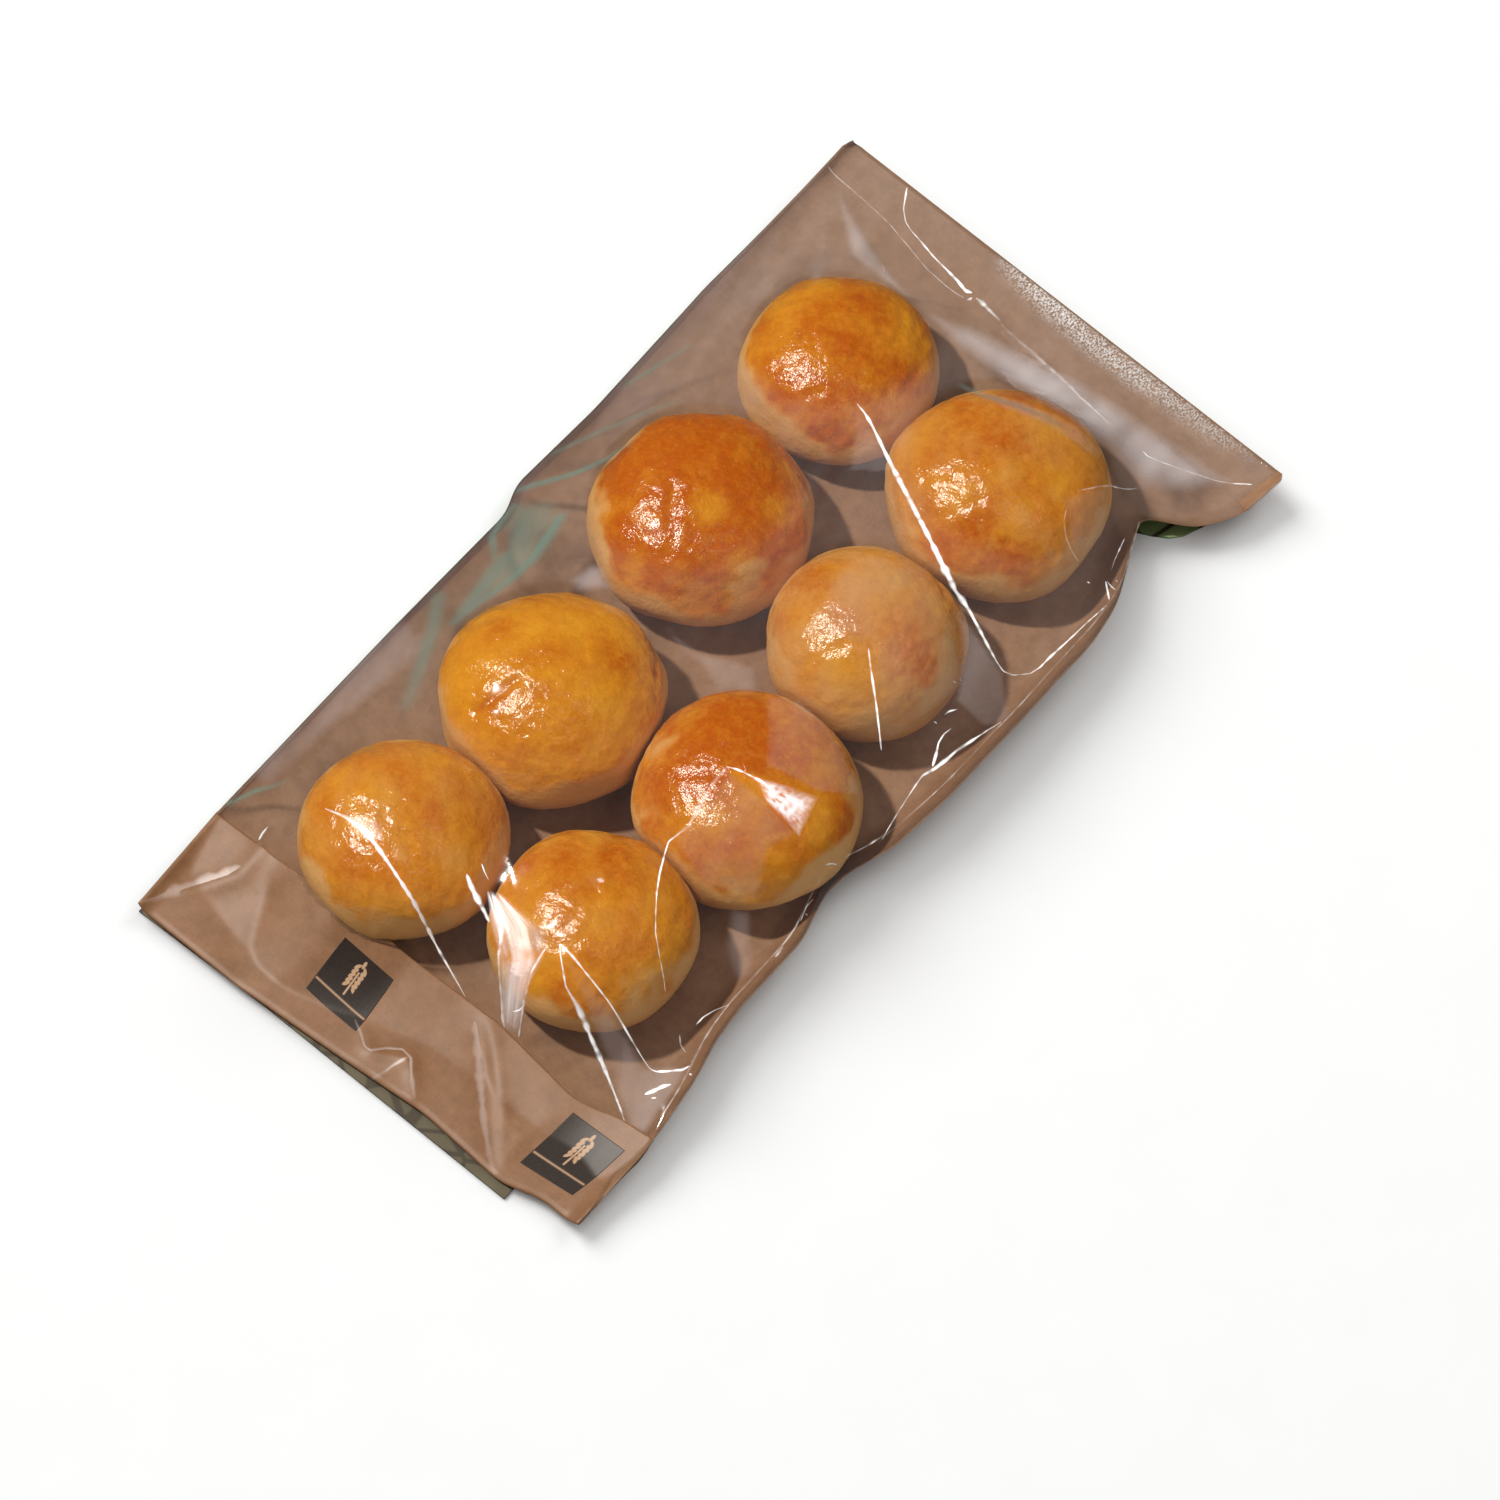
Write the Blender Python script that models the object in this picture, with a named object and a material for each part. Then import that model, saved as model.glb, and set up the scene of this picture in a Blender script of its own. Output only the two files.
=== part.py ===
# A pack of eight small round brioche buns: one folded sheet of kraft paper makes the back,
# the raised side walls and a band over the near end, and a clear film closes the front.
# Metres, +Z up. +Y runs along the pack to its flat sealed end, +X across it.
# The origin is on the surface that the pack lies on, under the middle of its box.

import math

import bmesh
import bpy
import numpy as np
from mathutils import Vector

# Driving dimensions
NEAR_Y, PACK_LENGTH = -0.1675, 0.336  # nominal near end, and length of the flat pack
PAPER = 0.0006          # thickness of the kraft sheet
GAP = 0.0005            # clearance between the paper and the film
FILM = 0.0004           # thickness of the clear film
LEAST_RISE = 0.0009     # least height of the film's shoulder over the right rim
FILM_INSET = 0.0035     # the seam stops this far inside the paper's two ends
FILM_CLEARANCE = 0.0006 # film above the bun tops
FILM_REACH = 0.0022     # film off the buns' sides
BUN_MIDDLE = 0.42       # height of a bun's widest ring, as a share of its height
BUN_SQUARENESS = 2.1    # exponent of a bun's dome, 2 for an ellipse
BUN_UNDERSIDE = 2.3     # exponent of its underside
BUN_FOOT = 0.64         # radius of its flat foot, as a share of its widest ring
BUN_EASE = 0.0004       # the solid buns are this much slimmer all round, so that they stay clear of the film
BUN_GAP = 0.00015       # clearance under a bun, and on each side where two are pressed together
BUN_SEGMENTS, BUN_RINGS = 16, 8
BAND_WIDTH = 0.0365     # paper band over the near end, along the table
BAND_REACH = 0.025      # the band's uneven edge fades out over this distance, to both sides
SEAL_START = 0.1505     # the flat seal runs from here to the far end
NEAR_LIFT, NEAR_LIFT_Y = 0.0014, -0.1215  # room below the near end for the turned-under tail
NEAR_LIFT_RUN = 0.014   # the paper rises to it over this distance
FAR_LIFT, FAR_LIFT_Y = 0.0085, 0.0855     # the sealed end rises from the table, from this place on
TAIL_DEPTH = 0.030      # how far the turned-under tail reaches below the pack
TAIL_THICKNESS = 0.0008

WALL_STEPS, FLOOR_COLUMNS = 4, 24    # cells up each side wall, and across the floor between them
COLUMNS = 2 * WALL_STEPS + FLOOR_COLUMNS
ROWS = 50               # cells along the pack
FOLD_STEPS = 4          # cells round the near fold
FOLD_BULGE = 0.3        # how far the near fold stands out, as a share of its height
FLAT_ANGLE = math.radians(0.15)       # cells that bend less than this are one face
RELAX_ROUNDS = 900      # rounds of pulling the film taut
ROUNDING = 0.003        # an outline's corners are rounded off over this reach

# The paper's two side rims, from the near end to the far end: y, x, height of the wall, and
# how far it leans out between its foot and its rim
LEFT_RIM = [
    (-0.1675, -0.0822, 0.0035, 0.0060), (-0.1245, -0.0847, 0.0040, 0.0100), (-0.0495, -0.0850, 0.0050, 0.0110),
    (0.0005, -0.0842, 0.0060, 0.0110), (0.0105, -0.0882, 0.0060, 0.0120), (0.0455, -0.0872, 0.0060, 0.0120),
    (0.1005, -0.0892, 0.0050, 0.0120), (0.1685, -0.0870, 0.0030, 0.0060),
]
RIGHT_RIM = [
    (-0.1675, 0.0853, 0.0035, 0.0040), (-0.1375, 0.0858, 0.0070, 0.0050), (-0.1115, 0.0823, 0.0110, 0.0050),
    (-0.0975, 0.0786, 0.0110, 0.0050), (-0.0845, 0.0770, 0.0105, 0.0050), (-0.0545, 0.0770, 0.0110, 0.0050),
    (-0.0385, 0.0728, 0.0085, 0.0070), (-0.0275, 0.0730, 0.0085, 0.0070), (-0.0135, 0.0780, 0.0120, 0.0050),
    (0.0105, 0.0803, 0.0140, 0.0040), (0.0455, 0.0803, 0.0140, 0.0040), (0.0805, 0.0793, 0.0130, 0.0040),
    (0.0985, 0.0758, 0.0120, 0.0050), (0.1125, 0.0703, 0.0100, 0.0050), (0.1225, 0.0662, 0.0080, 0.0050),
    (0.1280, 0.0650, 0.0060, 0.0050), (0.1335, 0.0765, 0.0050, 0.0050), (0.1385, 0.0815, 0.0045, 0.0050),
    (0.1485, 0.0875, 0.0040, 0.0050), (0.1685, 0.0903, 0.0030, 0.0040),
]
# The film's shoulder over the right rim: y, how far out of the rim it stands, and how far above it
SHOULDER = [
    (-0.1495, 0.0000, 0.0009), (-0.1195, 0.0008, 0.0030), (-0.0995, 0.0010, 0.0060), (-0.0595, 0.0012, 0.0070),
    (-0.0345, 0.0000, 0.0090), (-0.0095, 0.0015, 0.0070), (0.0605, 0.0022, 0.0065), (0.0925, 0.0030, 0.0070),
    (0.1155, 0.0010, 0.0040), (0.1285, 0.0000, 0.0012), (0.1505, 0.0000, 0.0009),
]
# The near and far ends: x and y
NEAR_END = [
    (-0.0822, -0.1670), (-0.0432, -0.1674), (-0.0022, -0.1652), (0.0268, -0.1632), (0.0578, -0.1655),
    (0.0718, -0.1618), (0.0858, -0.1622),
]
FAR_END = [(-0.0867, 0.1695), (0.0903, 0.1630)]

# The far edge of the band: x, height of the film under it, and how far it is drawn in
BAND_EDGE = [
    (-0.0852, 0.0050, 0.0000), (-0.0582, 0.0090, 0.0008), (-0.0332, 0.0180, 0.0017), (-0.0082, 0.0080, 0.0009),
    (0.0118, 0.0060, 0.0009), (0.0648, 0.0050, 0.0036), (0.0858, 0.0080, 0.0021),
]

# The buns inside: x, y, diameter and height
BUNS = {
    "near_left_bun": (-0.0323, -0.1047, 0.0635, 0.0360), "near_right_bun": (0.0303, -0.0917, 0.0634, 0.0360),
    "second_left_bun": (-0.0285, -0.0412, 0.0690, 0.0374), "second_right_bun": (0.0374, -0.0301, 0.0690, 0.0370),
    "third_left_bun": (-0.0339, 0.0339, 0.0693, 0.0374), "third_right_bun": (0.0314, 0.0323, 0.0608, 0.0395),
    "far_left_bun": (-0.0352, 0.1008, 0.0612, 0.0345), "far_right_bun": (0.0290, 0.0987, 0.0690, 0.0374),
}

# Plan outlines of the turned-under tail's near edge and of the printed side tuck
TAIL_NEAR = [(-0.0822, -0.1680), (-0.0322, -0.1674), (0.0288, -0.1684), (0.0618, -0.1690)]
TUCK_OUTLINE = [
    (0.0458, 0.1190), (0.0618, 0.1210), (0.0683, 0.1240), (0.0733, 0.1270), (0.0763, 0.1305),
    (0.0798, 0.1395), (0.0738, 0.1475), (0.0478, 0.1445),
]

# Colours as linear RGB, and roughness
KRAFT = ((0.47, 0.28, 0.155), 0.62)
CLEAR = ((0.72, 0.55, 0.40), 0.10)
PRINTED = ((0.10, 0.16, 0.07), 0.55)
CRUST = ((0.72, 0.36, 0.07), 0.40)


def clear_scene():
    for old in list(bpy.data.objects):
        bpy.data.objects.remove(old)


def material(name, finish):
    colour, roughness = finish
    made = bpy.data.materials.new(name)
    made.use_nodes = True
    shader = made.node_tree.nodes["Principled BSDF"]
    shader.inputs["Base Color"].default_value = (*colour, 1.0)
    shader.inputs["Roughness"].default_value = roughness
    shader.inputs["Metallic"].default_value = 0.0
    made.diffuse_color = (*colour, 1.0)
    return made


def along(points, at, column=1):
    """The value in a column of an outline's points at a place along them, with its corners rounded off."""
    places = [p[0] for p in points]
    values = [p[column] for p in points]
    spots = at + np.linspace(-ROUNDING, ROUNDING, 7)
    return float(np.mean(np.interp(spots, places, values)))


def smooth_step(share):
    share = min(1.0, max(0.0, share))
    return share * share * (3.0 - 2.0 * share)


def station(length):
    """The y of a share along the pack, before its ends are shaped."""
    return NEAR_Y + PACK_LENGTH * length


def shaped_y(x, length):
    """The y of a share along the pack at this x: between its uneven ends, and drawn in at the band's edge."""
    near, far = along(NEAR_END, x), along(FAR_END, x)
    from_edge = abs(length * PACK_LENGTH - BAND_WIDTH)
    drawn = along(BAND_EDGE, x, 2) * smooth_step(1.0 - from_edge / BAND_REACH)
    return near + (far - near) * length - drawn


def lift(y):
    """Height of the paper's inner face over the table, away from the side walls."""
    near = NEAR_LIFT * smooth_step((NEAR_LIFT_Y - y) / NEAR_LIFT_RUN)
    far = FAR_LIFT * max(0.0, (y - FAR_LIFT_Y) / (NEAR_Y + PACK_LENGTH - FAR_LIFT_Y)) ** 2
    return PAPER + near + far


def wall_points(rim, side):
    """A side wall from its foot to its rim, as x and height: a quarter of an ellipse."""
    rim_x, rise, lean = rim
    foot = rim_x - side * lean
    turns = [math.pi / 2.0 * step / WALL_STEPS for step in range(WALL_STEPS + 1)]
    return [(foot + side * lean * math.sin(turn), rise * (1.0 - math.cos(turn))) for turn in turns]


def back_section(length, off=0.0):
    """The back's inner face across the pack, from rim to rim, moved off the paper by a distance."""
    place = station(length)
    left = wall_points([along(LEFT_RIM, place, n) for n in (1, 2, 3)], -1.0)
    right = wall_points([along(RIGHT_RIM, place, n) for n in (1, 2, 3)], 1.0)
    floor = [(x, 0.0) for x in np.linspace(left[0][0], right[0][0], FLOOR_COLUMNS + 1)[1:-1]]
    flat = np.array(left[::-1] + floor + right)
    run = np.gradient(flat, axis=0)
    inward = np.stack([-run[:, 1], run[:, 0]], axis=1)
    flat = flat + off * inward / np.linalg.norm(inward, axis=1)[:, None]
    return [Vector((x, shaped_y(x, length), z + lift(shaped_y(x, length)))) for x, z in flat]


def film_lengths():
    """Shares along the pack of the film's rows, which stop short of both ends."""
    inset = FILM_INSET / PACK_LENGTH
    return [inset + (1.0 - 2.0 * inset) * row / ROWS for row in range(ROWS + 1)]


def band_rows():
    """How many of the film's rows lie under the band."""
    return sum(1 for length in film_lengths() if length * PACK_LENGTH < BAND_WIDTH)


def bun_top(x, y):
    """Height of the highest bun at a place, or 0 between the buns, each with the film's reach round it."""
    highest = 0.0
    for bun_x, bun_y, diameter, height in BUNS.values():
        share = math.hypot(x - bun_x, y - bun_y) / (diameter / 2.0 + FILM_REACH)
        if share < 1.0:
            dome = (1.0 - share ** BUN_SQUARENESS) ** (1.0 / BUN_SQUARENESS)
            highest = max(highest, PAPER + height * (BUN_MIDDLE + (1.0 - BUN_MIDDLE) * dome))
    return highest


def film_front(under):
    """The film's rows: held down under the band and at the seal, and pulled taut over the buns between."""
    plan, least, held = [], [], []
    for length, row in zip(film_lengths(), under):
        place = station(length)
        right = row[-1].x + along(SHOULDER, place, 1)
        xs = np.linspace(row[0].x, right, COLUMNS + 1)
        ys = [shaped_y(x, length) for x in xs]
        floor = np.interp(xs, [p.x for p in row], [p.z for p in row]) + FILM
        plan.append(list(zip(xs, ys)))
        held.append([bun_top(x, y) + FILM_CLEARANCE for x, y in zip(xs, ys)])
        floor[-1] = row[-1].z + max(LEAST_RISE, along(SHOULDER, place, 2))
        least.append(floor)
    plan, least = np.array(plan), np.array(least)
    kept = np.maximum(least, np.array(held))
    banded = band_rows()
    for row in range(1, banded):
        edge = np.array([along(BAND_EDGE, x) for x in plan[row, :, 0]])
        kept[row] = np.maximum(kept[row], edge * row / (banded - 1))
    fixed = plan[:, :, 1] > SEAL_START
    fixed[:banded], fixed[:, [0, -1]] = True, True
    kept[:, [0, -1]] = least[:, [0, -1]]
    front = kept.copy()
    for _ in range(RELAX_ROUNDS):
        pulled = kept.copy()
        pulled[1:-1, 1:-1] = (front[:-2, 1:-1] + front[2:, 1:-1] + front[1:-1, :-2] + front[1:-1, 2:]) / 4.0
        front = np.where(fixed, kept, np.maximum(kept, pulled))
    return [[Vector((x, y, z)) for (x, y), z in zip(*line)] for line in zip(plan, front)]


def add_sheet(mesh, rows, backward=0):
    """A sheet through rows of points. The first rows may run backward: their cells are split along
    the other diagonal, so that they still fit a sheet whose rows all run forward."""
    lines = [[mesh.verts.new(spot) for spot in row] for row in rows]
    for count, (first, second) in enumerate(zip(lines, lines[1:])):
        for c in range(len(first) - 1):
            cell = [first[c], first[c + 1], second[c + 1], second[c]]
            if count < backward:
                cell = cell[1:] + cell[:1]
            mesh.faces.new((cell[0], cell[1], cell[2]))
            mesh.faces.new((cell[0], cell[2], cell[3]))


def merge_flat_cells(mesh):
    """Joins cells that lie in one plane, so that the flat floor has few faces."""
    inner = [v for v in mesh.verts if not v.is_boundary]
    bmesh.ops.dissolve_limit(mesh, angle_limit=FLAT_ANGLE, verts=inner, edges=mesh.edges)


def finish(name, mesh, made_of, smooth_angle=40.0):
    data = bpy.data.meshes.new(name)
    mesh.to_mesh(data)
    mesh.free()
    data.shade_smooth()
    data.set_sharp_from_angle(angle=math.radians(smooth_angle))
    data.materials.append(made_of)
    made = bpy.data.objects.new(name, data)
    bpy.context.scene.collection.objects.link(made)
    return made


def make_filled_bag(under, front, made_of):
    """The clear front over the buns: a thin sheet that turns down over its right shoulder to the paper's rim."""
    rows = [line + [line[-1].lerp(row[-1], 0.5), row[-1]] for line, row in zip(front, under)]
    mesh = bmesh.new()
    add_sheet(mesh, rows)
    made = finish("filled_bag", mesh, made_of)
    wall = made.modifiers.new("Sheet", "SOLIDIFY")
    wall.thickness = FILM
    wall.offset = -1.0
    return made


def pressed(spot, name):
    """A point of a bun, kept on its own side of the flat faces that it shares with its neighbours."""
    x, y, diameter, _ = BUNS[name]
    for other, (other_x, other_y, other_diameter, _) in BUNS.items():
        apart = math.hypot(other_x - x, other_y - y)
        if other == name or apart > (diameter + other_diameter) / 2.0 + BUN_GAP:
            continue
        axis = Vector(((other_x - x) / apart, (other_y - y) / apart))
        wall = apart * diameter / (diameter + other_diameter) - BUN_GAP
        beyond = (spot.x - x) * axis.x + (spot.y - y) * axis.y - wall
        if beyond > 0.0:
            spot.x, spot.y = spot.x - beyond * axis.x, spot.y - beyond * axis.y
    return spot


def make_bun(name, made_of):
    """A round bun: a dome over its widest ring, drawn in below to a flat foot on the paper."""
    x, y, diameter, height = BUNS[name]
    radius, middle = diameter / 2.0 - BUN_EASE, height * BUN_MIDDLE
    below = middle / (1.0 - BUN_FOOT ** BUN_UNDERSIDE) ** (1.0 / BUN_UNDERSIDE)
    mesh = bmesh.new()
    bmesh.ops.create_uvsphere(mesh, u_segments=BUN_SEGMENTS, v_segments=BUN_RINGS, radius=1.0)
    for vert in mesh.verts:
        way = vert.co.normalized()
        power, rise = (BUN_SQUARENESS, height - BUN_EASE - middle) if way.z > 0.0 else (BUN_UNDERSIDE, below)
        reach = (math.hypot(way.x, way.y) ** power + abs(way.z) ** power) ** (-1.0 / power)
        spot = Vector((x + way.x * reach * radius, y + way.y * reach * radius, PAPER + middle + way.z * reach * rise))
        spot = pressed(spot, name)
        spot.z = max(spot.z, lift(spot.y) + BUN_GAP)
        vert.co = spot
    return finish(name, mesh, made_of)


def near_fold(band_end, back_end):
    """Rows round the fold that joins the band to the back, bulging out at the near end."""
    rows = []
    for step in range(1, FOLD_STEPS):
        turn = math.pi * step / FOLD_STEPS
        row = []
        for top, low in zip(band_end, back_end):
            spot = top.lerp(low, (1.0 - math.cos(turn)) / 2.0)
            spot.y = min(top.y, low.y) - FOLD_BULGE * (top.z - low.z) * math.sin(turn)
            row.append(spot)
        rows.append(row)
    return rows


def make_paper_bag(front, made_of):
    """One folded sheet: the band over the near end, the near fold, and the back up to the far end."""
    band = [[spot + Vector((0.0, 0.0, GAP)) for spot in row] for row in front[:band_rows()]]
    back = [back_section(length) for length in [0.0, *film_lengths(), 1.0]]
    mesh = bmesh.new()
    add_sheet(mesh, band[::-1] + near_fold(band[0], back[0]) + back, backward=len(band))
    merge_flat_cells(mesh)
    made = finish("paper_bag", mesh, made_of)
    wall = made.modifiers.new("Sheet", "SOLIDIFY")
    wall.thickness = PAPER
    wall.offset = -1.0
    return made


def make_slab(name, outline, made_of):
    """A flat piece of folded paper lying on the table."""
    mesh = bmesh.new()
    face = mesh.faces.new([mesh.verts.new((x, y, 0.0)) for x, y in outline])
    raised = bmesh.ops.extrude_face_region(mesh, geom=[face])["geom"]
    top = [v for v in raised if isinstance(v, bmesh.types.BMVert)]
    bmesh.ops.translate(mesh, verts=top, vec=(0.0, 0.0, TAIL_THICKNESS))
    bmesh.ops.recalc_face_normals(mesh, faces=mesh.faces)
    return finish(name, mesh, made_of, 30.0)


def main():
    clear_scene()
    kraft = material("kraft_paper", KRAFT)
    clear = material("clear_film", CLEAR)
    printed = material("printed_paper", PRINTED)
    crust = material("bun_crust", CRUST)
    under = [back_section(length, GAP) for length in film_lengths()]
    front = film_front(under)
    make_filled_bag(under, front, clear)
    make_paper_bag(front, kraft)
    for name in BUNS:
        make_bun(name, crust)
    make_slab("turned_tail", TAIL_NEAR + [(x, y + TAIL_DEPTH) for x, y in reversed(TAIL_NEAR)], printed)
    make_slab("side_tuck", TUCK_OUTLINE, printed)


main()
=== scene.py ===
import math

import bmesh
import bpy
import numpy as np
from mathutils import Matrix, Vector
from mathutils.bvhtree import BVHTree


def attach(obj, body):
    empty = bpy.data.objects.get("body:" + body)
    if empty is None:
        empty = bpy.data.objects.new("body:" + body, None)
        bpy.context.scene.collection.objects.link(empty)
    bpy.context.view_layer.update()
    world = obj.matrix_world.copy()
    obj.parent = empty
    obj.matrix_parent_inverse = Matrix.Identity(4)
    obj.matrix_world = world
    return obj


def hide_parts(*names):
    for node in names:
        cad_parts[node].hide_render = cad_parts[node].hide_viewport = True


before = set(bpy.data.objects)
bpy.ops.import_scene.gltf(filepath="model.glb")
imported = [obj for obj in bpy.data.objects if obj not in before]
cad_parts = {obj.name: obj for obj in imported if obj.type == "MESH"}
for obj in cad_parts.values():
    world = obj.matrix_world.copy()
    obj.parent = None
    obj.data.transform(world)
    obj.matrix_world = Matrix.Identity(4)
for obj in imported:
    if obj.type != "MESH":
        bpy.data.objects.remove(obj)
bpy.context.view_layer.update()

scene = bpy.context.scene
mm = 0.001


def linear(hexColour):
    parts = [int(hexColour[n:n + 2], 16) / 255.0 for n in (1, 3, 5)]
    return (*[c / 12.92 if c <= 0.04045 else ((c + 0.055) / 1.055) ** 2.4 for c in parts], 1.0)


# a link that comes from a node itself takes its first output, or a colour mix's result
def addNode(tree, kind, values=None, links=None, **settings):
    node = tree.nodes.new("ShaderNode" + kind)
    for name, value in settings.items():
        setattr(node, name, value)
    for name, value in (values or {}).items():
        node.inputs[name].default_value = value
    for name, source in (links or {}).items():
        if isinstance(source, bpy.types.Node):
            source = source.outputs[2 if source.bl_idname == "ShaderNodeMix" else 0]
        tree.links.new(source, node.inputs[name])
    return node


# an empty material, its nodes, and the place on the object for its patterns
def newFinish(name):
    finish = bpy.data.materials.new(name)
    finish.use_nodes = True
    tree = finish.node_tree
    tree.nodes.clear()
    return finish, tree, addNode(tree, "TexCoord").outputs["Object"]


def smoothStep(share):
    share = np.clip(share, 0.0, 1.0)
    return share * share * (3.0 - 2.0 * share)


# a smooth random field with a spread of about 1, whose lumps are about size across
def softNoise(points, size, seed):
    dice = np.random.default_rng(seed)
    waves = 32
    ways = dice.normal(size=(waves, 3))
    ways *= 2.0 * math.pi / size * dice.uniform(0.55, 1.35, (waves, 1)) / np.linalg.norm(ways, axis=1)[:, None]
    return np.sin(points @ ways.T + dice.uniform(0.0, 2.0 * math.pi, waves)).sum(axis=1) * math.sqrt(2.0 / waves)


# the value in a column of a table at a place along it, with the corners rounded off
def along(table, at, column=1, rounding=0.003):
    table = np.asarray(table)
    spots = [np.interp(at + shift, table[:, 0], table[:, column]) for shift in np.linspace(-rounding, rounding, 7)]
    return np.mean(spots, axis=0)


# the sum of the four neighbours of each place inside a grid's border
def neighbours(grid):
    return grid[:-2, 1:-1] + grid[2:, 1:-1] + grid[1:-1, :-2] + grid[1:-1, 2:]


# evens out a grid of heights, except along its border
def evened(heights, rounds):
    for _ in range(rounds):
        middle = heights.copy()
        middle[1:-1, 1:-1] = neighbours(heights) / 8.0 + heights[1:-1, 1:-1] / 2.0
        heights = middle
    return heights


def readPoints(mesh, what="co"):
    values = np.empty(len(mesh.vertices) * 3)
    mesh.vertices.foreach_get(what, values)
    return values.reshape(-1, 3)


def writePoints(mesh, points):
    mesh.vertices.foreach_set("co", points.ravel())
    mesh.update()


# one value for each point of a mesh, for its material to read
def writeValues(mesh, name, values):
    mesh.attributes.new(name, "FLOAT", "POINT").data.foreach_set("value", values)


def addPiece(name, mesh, finishes):
    piece = bpy.data.objects.new(name, mesh)
    scene.collection.objects.link(piece)
    for finish in finishes:
        mesh.materials.append(finish)
    mesh.shade_smooth()
    lit["bag"].objects.link(piece)
    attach(piece, "root")
    return piece


# a flat grid of cells, and where each of its points lies across and along, from 0 to 1
def gridMesh(name, columns, rows):
    cells = bmesh.new()
    bmesh.ops.create_grid(cells, x_segments=columns, y_segments=rows, size=0.5)
    mesh = bpy.data.meshes.new(name)
    cells.to_mesh(mesh)
    cells.free()
    places = readPoints(mesh)
    across = np.rint((places[:, 0] - places[:, 0].min()) / np.ptp(places[:, 0]) * columns).astype(int)
    down = np.rint((places[:, 1] - places[:, 1].min()) / np.ptp(places[:, 1]) * rows).astype(int)
    return mesh, across, down


def giveThickness(piece, thickness, offset=-1.0):
    wall = piece.modifiers.new("wall", "SOLIDIFY")
    wall.thickness = thickness
    wall.offset = offset
    wall.use_quality_normals = True
    return wall


# the camera stands where the photo's did
view = dict(azimuth=40.0, elevation=63.0, distance=2.5, aim=(0.0221, -0.0100, 0.0), lens=200.0)
azimuth, elevation = math.radians(view["azimuth"]), math.radians(view["elevation"])
flatWay = math.cos(elevation)
away = Vector((math.sin(azimuth) * flatWay, -math.cos(azimuth) * flatWay, math.sin(elevation)))
camera = bpy.data.objects.new("camera", bpy.data.cameras.new("camera"))
scene.collection.objects.link(camera)
camera.data.lens = view["lens"]
camera.data.sensor_width = 36.0
camera.data.clip_end = 20.0
camera.location = Vector(view["aim"]) + away * view["distance"]
camera.rotation_euler = away.to_track_quat("Z", "Y").to_euler()
scene.camera = camera

# each lamp: the way to it from the bag, its distance and size in metres, watts, colour and what it lights
lamps = {
    "key": ((-0.471, -0.209, 0.857), 2.6, 0.16, 68.0, "#fff8ee", "bag"),
    "glintBox": ((0.24, -0.02, 0.97), 1.7, 0.36, 1.2, "#ffffff", "buns"),
    "overheadBox": ((-0.10, 0.30, 0.95), 1.7, 1.2, 3.8, "#fff9f2", "bag"),
    "sideBox": ((0.62, 0.10, 0.78), 1.7, 1.2, 5.0, "#fff1e2", "bag"),
    "nearBox": ((0.30, -0.75, 0.60), 1.7, 1.2, 2.8, "#fff4e8", "bag"),
    "leftBox": ((-0.78, 0.22, 0.58), 1.7, 1.2, 1.6, "#fffaf2", "bag"),
    "tableSoft": ((-0.10, 0.02, 1.0), 1.0, 3.4, 18.8, "#ffffff", "table"),
    "tableBack": ((0.10, 0.80, 0.50), 6.0, 3.2, 105.0, "#ffffff", "table"),
    "tableSide": ((-0.74, 0.10, 0.62), 6.0, 4.0, 292.0, "#ffffff", "table"),
}
mirrored = ("key", "glintBox")  # the film and the crust show no other lamp
lit = {name: bpy.data.collections.new(name + "Lit") for name in ("bag", "buns", "table")}
for name, (way, distance, size, power, colour, target) in lamps.items():
    light = bpy.data.lights.new(name, "AREA")
    light.shape = "DISK"
    light.size = size
    light.energy = power
    light.color = linear(colour)[:3]
    holder = bpy.data.objects.new(name, light)
    way = Vector(way).normalized()
    holder.location = way * distance
    holder.rotation_euler = way.to_track_quat("Z", "Y").to_euler()
    scene.collection.objects.link(holder)
    holder.light_linking.receiver_collection = lit[target]
    holder.visible_glossy = name in mirrored

# a dim grey room, white only behind the table
sky = bpy.data.worlds.new("studio")
sky.use_nodes = True
tree = sky.node_tree
around = tree.nodes["Background"]
around.inputs["Color"].default_value = linear("#dfe3e8")
rays = addNode(tree, "LightPath")
seen = addNode(tree, "MapRange", {"To Min": 0.05, "To Max": 1.1}, {"Value": rays.outputs["Is Camera Ray"]})
tree.links.new(seen.outputs[0], around.inputs["Strength"])
scene.world = sky
scene.view_settings.view_transform = "Standard"

# matt white laminate table: pale, with a barely seen mottle 25 mm across
laminate, tree, place = newFinish("matt_white_laminate")
mottle = addNode(tree, "TexNoise", {"Scale": 40.0, "Detail": 3.0}, {"Vector": place})
tone = addNode(tree, "Mix", {6: linear("#f4f4f3"), 7: linear("#f7f7f6")}, {"Factor": mottle}, data_type="RGBA")
shader = addNode(tree, "BsdfPrincipled", {"Roughness": 0.75}, {"Base Color": tone})
addNode(tree, "OutputMaterial", links={"Surface": shader})
ground = bmesh.new()
bmesh.ops.create_grid(ground, x_segments=8, y_segments=8, size=3.0)
floorMesh = bpy.data.meshes.new("table")
ground.to_mesh(floorMesh)
ground.free()
table = bpy.data.objects.new("table", floorMesh)
table.data.materials.append(laminate)
scene.collection.objects.link(table)
lit["table"].objects.link(table)
table.visible_glossy = False  # the film mirrors dim surroundings, not the white table
print("stage ready")


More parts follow.
